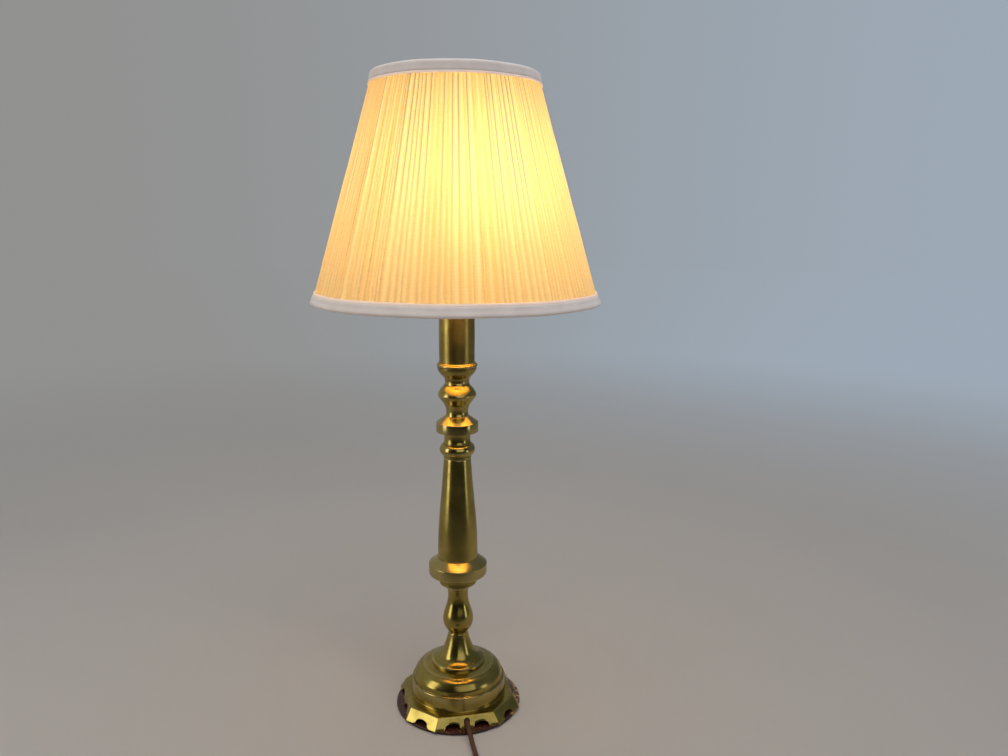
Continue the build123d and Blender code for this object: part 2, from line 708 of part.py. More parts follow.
with BuildPart() as harp_saddle:
    with BuildSketch(Plane.XZ) as strap_line:
        with BuildLine():
            FilletPolyline(
                (-ear_outside, ear_top),
                (-ear_outside, top_nut_top),
                (ear_outside, top_nut_top),
                (ear_outside, ear_top),
                radius=SADDLE_BEND_RADIUS,
            )
            Line((ear_outside, ear_top), (SADDLE_HALF_SPAN, ear_top))
            FilletPolyline(
                (SADDLE_HALF_SPAN, ear_top),
                (SADDLE_HALF_SPAN, saddle_top),
                (-SADDLE_HALF_SPAN, saddle_top),
                (-SADDLE_HALF_SPAN, ear_top),
                radius=SADDLE_BEND_RADIUS - SADDLE_THICKNESS,
            )
            Line((-SADDLE_HALF_SPAN, ear_top), (-ear_outside, ear_top))
        make_face()
    extrude(amount=SADDLE_WIDTH / 2, both=True)
    with BuildSketch(Plane.XY.offset(ear_top)):
        for side in (-1, 1):
            with Locations((side * (SADDLE_HALF_SPAN + SADDLE_THICKNESS / 2), 0)):
                Rectangle(SADDLE_THICKNESS, SADDLE_TONGUE_WIDTH)
    extrude(amount=SADDLE_TONGUE_HEIGHT)
    with Locations((0, 0, saddle_top)):
        Hole(rod_hole, SADDLE_THICKNESS)
save(harp_saddle, "harp_saddle")

with BuildPart() as harp_ferrules:
    with BuildSketch(Plane.XY.offset(ferrule_bottom)):
        for side in (-1, 1):
            with Locations((side * ferrule_x, 0)):
                Circle(FERRULE_RADIUS)
                Circle(FERRULE_BORE_RADIUS, mode=Mode.SUBTRACT)
    extrude(amount=FERRULE_HEIGHT)
save(harp_ferrules, "harp_ferrules")


def bend_radii(points):
    """For each corner of a route, the largest bend that its two runs leave room for."""
    radii = []
    for before, corner, after in zip(points, points[1:], points[2:]):
        first = Vector(*corner) - Vector(*before)
        second = Vector(*after) - Vector(*corner)
        half_turn = math.radians(first.get_angle(second)) / 2
        radii.append(0.45 * min(first.length, second.length) / math.tan(half_turn))
    return radii


harp_wire_top = harp_seat - HARP_SEAT_THICKNESS - HARP_WIRE_RADIUS
flare_bottom = ear_top + HARP_LEG_STRAIGHT
flare_top = flare_bottom + HARP_FLARE_RISE
side_top = harp_wire_top - HARP_SHOULDER_RISE

harp_side = [
    (wire_x, 0, ear_top),
    (wire_x, 0, flare_bottom),
    (HARP_HALF_WIDTH, 0, flare_top),
    (HARP_HALF_WIDTH, 0, side_top),
    (HARP_TOP_HALF_WIDTH, 0, harp_wire_top),
]
harp_route = [(-x, y, z) for x, y, z in harp_side] + harp_side[::-1]

with BuildPart() as harp:
    with BuildLine() as harp_line:
        FilletPolyline(*harp_route, radius=bend_radii(harp_route))
    with BuildSketch(Plane(origin=(-wire_x, 0, ear_top), z_dir=(0, 0, 1))):
        Circle(HARP_WIRE_RADIUS)
    sweep(path=harp_line.line)
    disc(HARP_SEAT_RADIUS, HARP_SEAT_THICKNESS, harp_seat - HARP_SEAT_THICKNESS)
    disc(
        2 * HARP_WIRE_RADIUS,
        HARP_WIRE_RADIUS,
        harp_seat - HARP_SEAT_THICKNESS - HARP_WIRE_RADIUS,
    )
    disc(STUD_RADIUS, STUD_HEIGHT, harp_seat)
save(harp, "harp")

# --- socket ---------------------------------------------------------------------------------------
cap_top = saddle_top + SOCKET_CAP_HEIGHT
cap_bore = SOCKET_CAP_RADIUS - SOCKET_CAP_WALL
shell_radius = cap_bore - SOCKET_FIT
shell_bottom = cap_top - SOCKET_SHELL_OVERLAP
shell_top = shell_bottom + SOCKET_SHELL_LENGTH
insulator_radius = shell_radius - SOCKET_SHELL_WALL - SOCKET_FIT
insulator_top = shell_top - INSULATOR_RECESS
body_radius = insulator_radius - INSULATOR_WALL - SOCKET_FIT
body_bottom = shell_bottom
body_top = body_bottom + SOCKET_BODY_HEIGHT
switch_z = body_bottom + SWITCH_HEIGHT
knob_start = SOCKET_CAP_RADIUS + KNOB_GAP

with BuildPart() as socket_cap:
    with BuildSketch(Plane.XZ):
        with BuildLine():
            Line((ROD_RADIUS + THREAD_FIT, saddle_top), (SOCKET_HUB_RADIUS, saddle_top))
            Line(
                (SOCKET_HUB_RADIUS, saddle_top),
                (SOCKET_HUB_RADIUS, saddle_top + SOCKET_HUB_HEIGHT / 2),
            )
            Spline(
                (SOCKET_HUB_RADIUS, saddle_top + SOCKET_HUB_HEIGHT / 2),
                (SOCKET_CAP_RADIUS, saddle_top + SOCKET_HUB_HEIGHT / 2 + SOCKET_CAP_FLARE),
                tangents=[(1, 0.3), (0, 1)],
            )
            Polyline(
                (SOCKET_CAP_RADIUS, saddle_top + SOCKET_HUB_HEIGHT / 2 + SOCKET_CAP_FLARE),
                (SOCKET_CAP_RADIUS, cap_top),
                (cap_bore, cap_top),
                (cap_bore, saddle_top + SOCKET_HUB_HEIGHT + SOCKET_CAP_FLARE),
                (SOCKET_HUB_RADIUS, saddle_top + SOCKET_HUB_HEIGHT),
                (ROD_RADIUS + THREAD_FIT, saddle_top + SOCKET_HUB_HEIGHT),
                (ROD_RADIUS + THREAD_FIT, saddle_top),
            )
        make_face()
    revolve(axis=Axis.Z)
save(socket_cap, "socket_cap")


def switch_hole(radius, length):
    """The way of the switch shaft through a wall of the socket, from the axis backwards."""
    backwards = Plane(origin=(0, 0, switch_z), x_dir=(1, 0, 0), z_dir=(0, 1, 0))
    with BuildSketch(backwards) as section:
        Circle(radius)
    extrude(section.sketch, amount=length, mode=Mode.SUBTRACT)


with BuildPart() as socket_shell:
    disc(shell_radius, SOCKET_SHELL_LENGTH, shell_bottom, shell_radius - SOCKET_SHELL_WALL)
    disc(
        shell_radius + SOCKET_LIP,
        2 * SOCKET_LIP,
        shell_top - 2 * SOCKET_LIP,
        shell_radius - SOCKET_SHELL_WALL,
    )
    switch_hole(SWITCH_SHAFT_RADIUS + SWITCH_HOLE_CLEARANCE, 2 * SOCKET_CAP_RADIUS)
save(socket_shell, "socket_shell")

with BuildPart() as socket_insulator:
    disc(
        insulator_radius,
        insulator_top - shell_bottom,
        shell_bottom,
        insulator_radius - INSULATOR_WALL,
    )
    switch_hole(SWITCH_SHAFT_RADIUS + SWITCH_HOLE_CLEARANCE, 2 * SOCKET_CAP_RADIUS)
save(socket_insulator, "socket_insulator")

terminal_seat = body_radius - TERMINAL_THICKNESS - SOCKET_FIT

with BuildPart() as socket_body:
    disc(body_radius, SOCKET_BODY_HEIGHT, body_bottom)
    with BuildSketch(Plane.XY.offset(body_bottom)):
        for side in (-1, 1):
            with Locations((side * body_radius, 0)):
                Rectangle(2 * (body_radius - terminal_seat), 3 * TERMINAL_RADIUS)
    extrude(amount=SOCKET_BODY_HEIGHT, mode=Mode.SUBTRACT)
    with BuildSketch(
        Plane(origin=(0, body_radius, switch_z), x_dir=(1, 0, 0), z_dir=(0, -1, 0))
    ):
        Circle(SWITCH_SHAFT_RADIUS + SWITCH_FIT)
    extrude(amount=SWITCH_SHAFT_IN_BODY, mode=Mode.SUBTRACT)
save(socket_body, "socket_body")

with BuildPart() as terminal_screws:
    for side in (-1, 1):
        with BuildSketch(
            Plane(
                origin=(side * terminal_seat, 0, body_bottom + SOCKET_BODY_HEIGHT / 2),
                x_dir=(0, 1, 0),
                z_dir=(side, 0, 0),
            )
        ):
            Circle(TERMINAL_RADIUS)
        extrude(amount=TERMINAL_THICKNESS)
save(terminal_screws, "terminal_screws")

screw_shell_radius = body_radius - SOCKET_FIT

with BuildPart() as socket_screw_shell:
    disc(
        screw_shell_radius,
        SCREW_SHELL_LENGTH,
        body_top,
        screw_shell_radius - SCREW_SHELL_WALL,
    )
save(socket_screw_shell, "socket_screw_shell")

with BuildPart() as socket_contact:
    with BuildSketch(Plane.XZ):
        with BuildLine():
            Polyline(
                (-CONTACT_WIDTH, body_top),
                (CONTACT_WIDTH, body_top),
                (CONTACT_WIDTH, body_top + CONTACT_THICKNESS),
                (0, body_top + CONTACT_THICKNESS),
                (CONTACT_WIDTH / 2, body_top + CONTACT_RISE),
                (-CONTACT_WIDTH / 2, body_top + CONTACT_RISE),
                (-CONTACT_WIDTH / 2, body_top + CONTACT_RISE - CONTACT_THICKNESS),
                (0, body_top + CONTACT_RISE - CONTACT_THICKNESS),
                (-CONTACT_WIDTH / 2, body_top + CONTACT_THICKNESS),
                (-CONTACT_WIDTH, body_top + CONTACT_THICKNESS),
                (-CONTACT_WIDTH, body_top),
            )
        make_face()
    extrude(amount=CONTACT_WIDTH / 2, both=True)
save(socket_contact, "socket_contact")

# --- switch: shaft and turn key, which leave the back of the socket -------------------------------
shaft_start = body_radius - SWITCH_SHAFT_IN_BODY + SOCKET_FIT
shaft_end = knob_start + SWITCH_SHAFT_IN_KNOB

with BuildPart() as switch_shaft:
    with BuildSketch(Plane(origin=(0, shaft_start, switch_z), x_dir=(1, 0, 0), z_dir=(0, 1, 0))):
        Circle(SWITCH_SHAFT_RADIUS)
    extrude(amount=shaft_end - shaft_start)
save(switch_shaft, "switch_shaft")

knob_plane = Plane(origin=(0, knob_start, switch_z), x_dir=(1, 0, 0), z_dir=(0, 1, 0))

with BuildPart() as switch_knob:
    with BuildSketch(knob_plane):
        Circle(KNOB_COLLAR_RADIUS)
    extrude(amount=KNOB_COLLAR_LENGTH)
    with BuildSketch(knob_plane.offset(KNOB_COLLAR_LENGTH)):
        SlotOverall(KNOB_PADDLE_START, KNOB_PADDLE_THICKNESS)
    with BuildSketch(knob_plane.offset(KNOB_LENGTH)):
        SlotOverall(KNOB_PADDLE_WIDTH, KNOB_PADDLE_THICKNESS)
    loft(ruled=True)
    with BuildSketch(knob_plane):
        Circle(SWITCH_SHAFT_RADIUS + THREAD_FIT)
    extrude(amount=SWITCH_SHAFT_IN_KNOB, mode=Mode.SUBTRACT)
save(switch_knob, "switch_knob")

# --- bulb -----------------------------------------------------------------------------------------
bulb_bottom = body_top + CONTACT_RISE
bulb_insulator_bottom = bulb_bottom + BULB_TIP_HEIGHT
bulb_base_bottom = bulb_insulator_bottom + BULB_INSULATOR_HEIGHT
bulb_base_top = bulb_base_bottom + BULB_BASE_LENGTH
bulb_centre = bulb_bottom + BULB_LENGTH - BULB_RADIUS
base_root = BULB_BASE_RADIUS - BULB_THREAD_DEPTH
base_bore = base_root - BULB_BASE_WALL
glass_bottom = bulb_base_top - 4.0
thread_turns = int((BULB_BASE_LENGTH - 4.0) / BULB_THREAD_PITCH)

with BuildPart() as bulb_base:
    with BuildSketch(Plane.XZ):
        with BuildLine():
            Polyline(
                (base_root, bulb_base_bottom), (base_bore, bulb_base_bottom), (base_bore, glass_bottom)
            )
            Line((base_bore, glass_bottom), (base_bore, bulb_base_top))
            Line((base_bore, bulb_base_top), (base_root, bulb_base_top))
            Line(
                (base_root, bulb_base_top),
                (base_root, bulb_base_bottom + thread_turns * BULB_THREAD_PITCH),
            )
            for turn in range(thread_turns):
                low = bulb_base_bottom + turn * BULB_THREAD_PITCH
                ThreePointArc(
                    (base_root, low),
                    (BULB_BASE_RADIUS, low + BULB_THREAD_PITCH / 2),
                    (base_root, low + BULB_THREAD_PITCH),
                )
        make_face()
    revolve(axis=Axis.Z)
save(bulb_base, "bulb_base")

with BuildPart() as bulb_contact:
    with BuildSketch(Plane.XY.offset(bulb_bottom)):
        Circle(BULB_TIP_RADIUS - 1.0)
    with BuildSketch(Plane.XY.offset(bulb_insulator_bottom)):
        Circle(BULB_TIP_RADIUS)
    loft()
    with BuildSketch(Plane.XY.offset(bulb_insulator_bottom)):
        Circle(BULB_TIP_RADIUS)
    with BuildSketch(Plane.XY.offset(bulb_base_bottom)):
        Circle(base_root)
    loft()
save(bulb_contact, "bulb_contact")


def bulb_face(inset, bottom):
    """Half the glass envelope's section; an inset draws its inside."""
    ball = BULB_RADIUS - inset
    neck = base_bore - 0.1 - inset
    side = 55.0  # below the widest circle, where the ball turns in to the neck
    joint = (ball * math.cos(math.radians(side)), bulb_centre - ball * math.sin(math.radians(side)))
    with BuildSketch(Plane.XZ) as section:
        with BuildLine():
            Polyline((0, bottom), (neck, bottom), (neck, bulb_base_top + 1.0))
            Spline(
                (neck, bulb_base_top + 1.0),
                joint,
                tangents=[(0, 1), (math.sin(math.radians(side)), math.cos(math.radians(side)))],
            )
            ThreePointArc(
                joint,
                (ball, bulb_centre),
                (ball * math.cos(math.radians(45)), bulb_centre + ball * math.sin(math.radians(45))),
            )
            ThreePointArc(
                (ball * math.cos(math.radians(45)), bulb_centre + ball * math.sin(math.radians(45))),
                (ball * math.sin(math.radians(20)), bulb_centre + ball * math.cos(math.radians(20))),
                (0, bulb_centre + ball),
            )
            Line((0, bulb_centre + ball), (0, bottom))
        make_face()
    revolve(section.sketch, axis=Axis.Z, mode=Mode.ADD if inset == 0 else Mode.SUBTRACT)


with BuildPart() as bulb_glass:
    bulb_face(0, glass_bottom)
    bulb_face(BULB_GLASS_WALL, glass_bottom - 1.0)
save(bulb_glass, "bulb_glass")

stem_top = glass_bottom + BULB_STEM_LENGTH

with BuildPart() as bulb_stem:
    with BuildSketch(Plane.XY.offset(glass_bottom)):
        Circle(base_bore - BULB_GLASS_WALL - 0.3)
    with BuildSketch(Plane.XY.offset(glass_bottom + 6.0)):
        Circle(BULB_STEM_RADIUS)
    with BuildSketch(Plane.XY.offset(stem_top)):
        Circle(BULB_STEM_RADIUS / 2)
    loft(ruled=True)
save(bulb_stem, "bulb_stem")

with BuildPart() as bulb_filament:
    with BuildLine(Plane.XZ) as filament_line:
        FilletPolyline(
            (-BULB_WIRE_RADIUS * 2, stem_top),
            (-BULB_WIRE_RADIUS * 2, stem_top + 3.0),
            (-BULB_FILAMENT_WIDTH / 2, stem_top + 8.0),
            (-BULB_FILAMENT_WIDTH / 4, stem_top + 14.0),
            (BULB_FILAMENT_WIDTH / 4, stem_top + 14.0),
            (BULB_FILAMENT_WIDTH / 2, stem_top + 8.0),
            (BULB_WIRE_RADIUS * 2, stem_top + 3.0),
            (BULB_WIRE_RADIUS * 2, stem_top),
            radius=1.2,
        )
    with BuildSketch(Plane(origin=filament_line.line @ 0, z_dir=filament_line.line % 0)):
        RegularPolygon(BULB_WIRE_RADIUS, 6)
    sweep(path=filament_line.line)
save(bulb_filament, "bulb_filament")

# --- shade ----------------------------------------------------------------------------------------
shade_top = harp_seat + SHADE_RISE
shade_bottom = shade_top - SHADE_HEIGHT
shade_slope = (SHADE_BOTTOM_RADIUS - SHADE_TOP_RADIUS) / SHADE_HEIGHT


def shade_radius(height, inset):
    """The shade's radius at a height, measured in from the trim's outer face."""
    return SHADE_TOP_RADIUS + (shade_top - height) * shade_slope - inset


pleat_inset = SHADE_TRIM_THICKNESS + SHADE_GAP
liner_inset = pleat_inset + PLEAT_DEPTH + PLEAT_BACK + SHADE_GAP
liner_inside = liner_inset + LINER_THICKNESS
ring_inset = liner_inside + SHADE_GAP + RING_WIRE_RADIUS
trim_inside = ring_inset + RING_WIRE_RADIUS + SHADE_GAP
cloth_top = shade_top - SHADE_FOLD
cloth_bottom = shade_bottom + SHADE_FOLD


def cone(outer_inset, inner_inset, bottom, top):
    """A ring that follows the shade's slope between two insets."""
    with BuildSketch(Plane.XZ) as section:
        Polygon(
            (shade_radius(bottom, inner_inset), bottom),
            (shade_radius(bottom, outer_inset), bottom),
            (shade_radius(top, outer_inset), top),
            (shade_radius(top, inner_inset), top),
            align=None,
        )
    revolve(section.sketch, axis=Axis.Z)


with BuildPart() as shade_liner:
    cone(liner_inset, liner_inside, cloth_bottom, cloth_top)
save(shade_liner, "shade_liner")


def pleat_star(height):
    """The cloth's outline at one height: a fold out and a fold in for each pleat."""
    peak = shade_radius(height, pleat_inset)
    points = []
    for fold in range(2 * PLEAT_COUNT):
        angle = math.pi * fold / PLEAT_COUNT
        radius = peak - PLEAT_DEPTH * (fold % 2)
        points.append((radius * math.cos(angle), radius * math.sin(angle)))
    Polygon(*points, align=None)


pleat_back = pleat_inset + PLEAT_DEPTH + PLEAT_BACK

with BuildPart() as shade_pleats:
    with BuildSketch(Plane.XY.offset(cloth_bottom)):
        pleat_star(cloth_bottom)
    with BuildSketch(Plane.XY.offset(cloth_top)):
        pleat_star(cloth_top)
    loft(ruled=True)
    with BuildSketch(Plane.XY.offset(cloth_bottom)):
        RegularPolygon(shade_radius(cloth_bottom, pleat_back), PLEAT_COUNT)
    with BuildSketch(Plane.XY.offset(cloth_top)):
        RegularPolygon(shade_radius(cloth_top, pleat_back), PLEAT_COUNT)
    loft(ruled=True, mode=Mode.SUBTRACT)
save(shade_pleats, "shade_pleats")


def arm_directions():
    """The directions of the spider's arms, the first one to the back."""
    turns = [math.radians(90 + 360 * arm / SPIDER_ARMS) for arm in range(SPIDER_ARMS)]
    return [Vector(math.cos(turn), math.sin(turn), 0) for turn in turns]


def trim(edge, side, slots, label):
    """A cloth band folded over the shade's edge; side is 1 at the top and -1 at the bottom.

    A slot in the part that is turned in lets each of the spider's arms through.
    """
    outer_end = edge - side * SHADE_TRIM_HEIGHT
    inner_end = edge - side * SHADE_TRIM_TURN_IN
    fold = edge - side * (SHADE_FOLD - SHADE_GAP)
    inner_face = trim_inside + SHADE_TRIM_THICKNESS
    with BuildPart() as band:
        with BuildSketch(Plane.XZ):
            with BuildLine():
                Polyline(
                    (shade_radius(fold, inner_face), fold),
                    (shade_radius(inner_end, inner_face), inner_end),
                    (shade_radius(inner_end, trim_inside), inner_end),
                    (shade_radius(fold, trim_inside), fold),
                    (shade_radius(fold, SHADE_TRIM_THICKNESS), fold),
                    (shade_radius(outer_end, SHADE_TRIM_THICKNESS), outer_end),
                    (shade_radius(outer_end, 0), outer_end),
                    (shade_radius(fold, 0), fold),
                )
                ThreePointArc(
                    (shade_radius(fold, 0), fold),
                    (shade_radius(edge, inner_face / 2), edge),
                    (shade_radius(fold, inner_face), fold),
                )
            make_face()
        revolve(axis=Axis.Z)
        for outwards in slots:
            with BuildSketch(Plane(origin=(0, 0, inner_end), x_dir=outwards, z_dir=(0, 0, side))):
                with Locations((shade_radius(edge, trim_inside), 0)):
                    Rectangle(6 * SHADE_TRIM_THICKNESS, 2 * SPIDER_WIRE_RADIUS + 2 * SHADE_GAP)
            extrude(amount=abs(fold - inner_end), mode=Mode.SUBTRACT)
    save(band, label)


trim(shade_top, 1, arm_directions(), "shade_top_trim")
trim(shade_bottom, -1, [], "shade_bottom_trim")

spider_z = harp_seat + SPIDER_SEAT_GAP
arm_z = spider_z + SPIDER_HUB_THICKNESS - SPIDER_WIRE_RADIUS
top_ring_z = cloth_top - RING_WIRE_RADIUS - SHADE_GAP
top_ring_radius = shade_radius(top_ring_z, ring_inset)
bottom_ring_z = cloth_bottom + RING_WIRE_RADIUS + SHADE_GAP
bottom_ring_radius = shade_radius(bottom_ring_z, ring_inset)


def wire_ring(radius, height):
    """A hoop of the shade's wire."""
    with BuildSketch(Plane.XZ) as section:
        with Locations((radius, height)):
            Circle(RING_WIRE_RADIUS)
    revolve(section.sketch, axis=Axis.Z)


with BuildPart() as shade_spider:
    disc(SPIDER_HUB_RADIUS, SPIDER_HUB_THICKNESS, spider_z)
    for outwards in arm_directions():
        arm_plane = Plane(origin=(0, 0, 0), x_dir=outwards, z_dir=outwards.cross(Vector(0, 0, 1)))
        with BuildLine(arm_plane) as arm_line:
            FilletPolyline(
                (SPIDER_ARM_START, arm_z),
                (SPIDER_RISE_RADIUS, arm_z),
                (top_ring_radius, top_ring_z),
                radius=SPIDER_BEND_RADIUS,
            )
        with BuildSketch(
            Plane(origin=outwards * SPIDER_ARM_START + Vector(0, 0, arm_z), z_dir=outwards)
        ):
            Circle(SPIDER_WIRE_RADIUS)
        sweep(path=arm_line.line)
    wire_ring(top_ring_radius, top_ring_z)
    with Locations((0, 0, spider_z + SPIDER_HUB_THICKNESS)):
        Hole(SPIDER_HOLE_RADIUS)
save(shade_spider, "shade_spider")

with BuildPart() as shade_bottom_ring:
    wire_ring(bottom_ring_radius, bottom_ring_z)
save(shade_bottom_ring, "shade_bottom_ring")

# --- finial ---------------------------------------------------------------------------------------
finial_bottom = spider_z + SPIDER_HUB_THICKNESS + FINIAL_GAP
finial_top = finial_bottom + FINIAL_HEIGHT
neck_z = finial_bottom + FINIAL_NECK_HEIGHT
ball_z = neck_z + FINIAL_BALL_RADIUS

with BuildPart() as finial:
    with BuildSketch(Plane.XZ):
        with BuildLine():
            Polyline(
                (0, finial_bottom),
                (FINIAL_BASE_RADIUS, finial_bottom),
                (FINIAL_BASE_RADIUS, finial_bottom + FINIAL_BASE_HEIGHT),
            )
            Spline(
                (FINIAL_BASE_RADIUS, finial_bottom + FINIAL_BASE_HEIGHT),
                (FINIAL_NECK_RADIUS, neck_z),
                tangents=[(-1, 0.4), (0, 1)],
            )
            Spline(
                (FINIAL_NECK_RADIUS, neck_z),
                (FINIAL_BALL_RADIUS, ball_z),
                (FINIAL_TIP_RADIUS, finial_top - FINIAL_TIP_RADIUS),
                tangents=[(1, 0.4), (-0.4, 1)],
            )
            ThreePointArc(
                (FINIAL_TIP_RADIUS, finial_top - FINIAL_TIP_RADIUS),
                (
                    FINIAL_TIP_RADIUS * math.cos(math.radians(40)),
                    finial_top - FINIAL_TIP_RADIUS * (1 - math.sin(math.radians(40))),
                ),
                (0, finial_top),
            )
            Line((0, finial_top), (0, finial_bottom))
        make_face()
    revolve(axis=Axis.Z)
    with BuildSketch(Plane.XY.offset(finial_bottom)):
        Circle(STUD_RADIUS + THREAD_FIT)
    extrude(
        amount=harp_seat + STUD_HEIGHT + FINIAL_BORE_SPARE - finial_bottom, mode=Mode.SUBTRACT
    )
save(finial, "finial")

# --- lead -----------------------------------------------------------------------------------------
front = math.radians(FOOT_TURN - 90)
exit_distance = FOOT_BOTTOM_HALF_WIDTH - LEAD_HOLE_HEIGHT * foot_slope
lead_exit = Vector(
    exit_distance * math.cos(front),
    exit_distance * math.sin(front),
    DISC_THICKNESS + LEAD_HOLE_HEIGHT,
)
run_first = lead_exit + Vector(RUN_REACH * math.cos(front), RUN_REACH * math.sin(front), -RUN_DROP)
lead_rise = lead_exit.Z + RUN_DROP / RUN_REACH * exit_distance
lead_centre = LEAD_RADIUS + LEAD_LIFT


def tube(points, radii, label):
    """A lead along straight runs and the arcs between them."""
    with BuildPart() as lead:
        with BuildLine() as route:
            FilletPolyline(*points, radius=radii)
        with BuildSketch(Plane(origin=route.line @ 0, z_dir=route.line % 0)):
            Circle(LEAD_RADIUS)
        sweep(path=route.line)
    length = route.wire().length
    share = lead.part.volume / (math.pi * LEAD_RADIUS**2 * length)
    print(label, "length", round(length, 1), "volume share", round(share, 4), "bends",
          [round(radius) for radius in radii])
    save(lead, label)
    return length


lead_inside = [tuple(lead_exit), (0, 0, lead_rise), (0, 0, rod_top + 4.0)]
tube(lead_inside, [LEAD_BEND_RADIUS], "inner_lead")

coil_entry = (*COIL_START, lead_centre)
run_route = [tuple(lead_exit), tuple(run_first), *RUN_POINTS, coil_entry]
run_length = tube(run_route, bend_radii(run_route), "cord_run")

# The coil turns clockwise seen from above. Its lower layer spirals in, half a turn at a time, each
# half turn half a pitch smaller than the last; one half turn climbs; the upper layer spirals out.
layer_rise = COIL_PITCH
half_turns = []
radius = COIL_RADIUS
for step in range(COIL_HALF_TURNS):
    half_turns.append((radius, 0.0))
    radius -= COIL_PITCH / 2
half_turns.append((radius, layer_rise))
for step in range(COIL_HALF_TURNS + 1):
    radius += COIL_PITCH / 2
    half_turns.append((radius, 0.0))

with BuildPart() as cord_coil:
    with BuildLine() as coil_line:
        here = Vector(*coil_entry)
        side = 1.0  # which side of the coil the half turn starts on
        for radius, rise in half_turns:
            centre = here - Vector(side * radius, 0, 0)
            reach = math.hypot(radius, rise / 2)
            middle = centre + Vector(0, -side * reach, rise / 2)
            there = centre + Vector(-side * radius, 0, rise)
            TangentArc(here, middle, tangent=(0, -side, 0))
            TangentArc(there, middle, tangent=(0, -side, 0))
            here = there
            side = -side
    with BuildSketch(Plane(origin=coil_entry, x_dir=(1, 0, 0), z_dir=(0, -1, 0))):
        RegularPolygon(LEAD_RADIUS, LEAD_SIDES, rotation=180 / LEAD_SIDES)
    sweep(path=coil_line.line)
coil_end = here
coil_wire = coil_line.wire()
coil_length = coil_wire.length
save(cord_coil, "cord_coil")

# The least gap between turns, measured between points along the lead that are not close along it.
COIL_SAMPLES = 900
coil_points = [coil_wire @ (i / COIL_SAMPLES) for i in range(COIL_SAMPLES + 1)]
apart = int(math.pi * LEAD_RADIUS * 2 / (coil_length / COIL_SAMPLES)) + 1
coil_gap = min(
    (coil_points[i] - coil_points[j]).length
    for i in range(COIL_SAMPLES + 1)
    for j in range(i + apart, COIL_SAMPLES + 1)
) - 2 * LEAD_RADIUS
print("cord_coil length", round(coil_length, 1), "least gap to itself", round(coil_gap, 2))

tail_route = [tuple(coil_end)]
for across, along in TAIL_STEPS:
    x, y, z = tail_route[-1]
    tail_route.append((x + across, y + along, z))
tail_length = tube(tail_route, bend_radii(tail_route), "cord_tail")
print("whole lead outside", round(run_length + coil_length + tail_length, 1))

# --- plug, lying beside the coil ------------------------------------------------------------------
plug_way = Vector(*tail_route[-1]) - Vector(*tail_route[-2])
plug_way = plug_way.normalized()
plug_start = Vector(*tail_route[-1])
plug_side = Vector(0, 0, 1).cross(plug_way)


def plug_plane(distance):
    """The plane across the plug at a distance along it from the end of the lead."""
    return Plane(origin=plug_start + plug_way * distance, x_dir=plug_side, z_dir=plug_way)


with BuildPart() as plug_body:
    with BuildSketch(plug_plane(0)):
        RectangleRounded(PLUG_TAIL_WIDTH, PLUG_TAIL_HEIGHT, PLUG_EDGE_RADIUS)
    with BuildSketch(plug_plane(PLUG_TAIL_LENGTH)):
        RectangleRounded(PLUG_WIDTH, PLUG_HEIGHT, PLUG_EDGE_RADIUS)
    with BuildSketch(plug_plane(PLUG_LENGTH)):
        RectangleRounded(PLUG_WIDTH, PLUG_HEIGHT, PLUG_EDGE_RADIUS)
    loft(ruled=True)
    with BuildSketch(plug_plane(PLUG_LENGTH)):
        for side, width in zip((-1, 1), BLADE_WIDTHS):
            with Locations((side * BLADE_SPACING / 2, 0)):
                Rectangle(BLADE_THICKNESS + 2 * THREAD_FIT, width + 2 * THREAD_FIT)
    extrude(amount=-BLADE_SEAT, mode=Mode.SUBTRACT)
save(plug_body, "plug_body")

with BuildPart() as plug_blades:
    with BuildSketch(plug_plane(PLUG_LENGTH - BLADE_SEAT)):
        for side, width in zip((-1, 1), BLADE_WIDTHS):
            with Locations((side * BLADE_SPACING / 2, 0)):
                Rectangle(BLADE_THICKNESS, width)
    extrude(amount=BLADE_SEAT + BLADE_LENGTH)
    with BuildSketch(
        Plane(
            origin=plug_start + plug_way * (PLUG_LENGTH + 0.75 * BLADE_LENGTH),
            x_dir=plug_way,
            z_dir=plug_side,
        )
    ):
        Circle(BLADE_HOLE_RADIUS)
    extrude(amount=BLADE_SPACING, both=True, mode=Mode.SUBTRACT)
save(plug_blades, "plug_blades")
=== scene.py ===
"""The dressed candlestick lamp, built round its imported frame.

A brass stem of turned pieces stands on a scalloped foot and a dark enamelled disc. It carries a
socket, a lit bulb, a wire harp and a pleated cloth shade. A flat brown lead leaves the foot.
"""
from __future__ import annotations

import json
import logging
import math
from collections.abc import Sequence
from dataclasses import dataclass, field
from enum import Enum

import bmesh
import bpy
import numpy as np
from mathutils import Matrix, Vector


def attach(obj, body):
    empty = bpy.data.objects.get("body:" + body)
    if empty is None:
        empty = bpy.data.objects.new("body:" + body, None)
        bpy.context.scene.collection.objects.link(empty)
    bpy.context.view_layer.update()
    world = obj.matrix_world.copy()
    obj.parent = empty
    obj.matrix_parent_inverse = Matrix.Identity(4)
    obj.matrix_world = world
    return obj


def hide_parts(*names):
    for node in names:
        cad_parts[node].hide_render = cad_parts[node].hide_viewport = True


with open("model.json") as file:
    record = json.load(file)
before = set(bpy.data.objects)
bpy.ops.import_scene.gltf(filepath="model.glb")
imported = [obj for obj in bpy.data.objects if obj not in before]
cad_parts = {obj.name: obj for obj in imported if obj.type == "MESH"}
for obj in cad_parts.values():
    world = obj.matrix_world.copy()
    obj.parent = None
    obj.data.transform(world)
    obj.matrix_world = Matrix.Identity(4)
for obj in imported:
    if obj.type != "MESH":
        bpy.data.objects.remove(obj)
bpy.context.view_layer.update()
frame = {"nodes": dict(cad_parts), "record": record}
MM = 0.001
LOG = logging.getLogger("candlestick_lamp")
UP = np.array([0.0, 0.0, 1.0])
Pair = tuple[float, float]
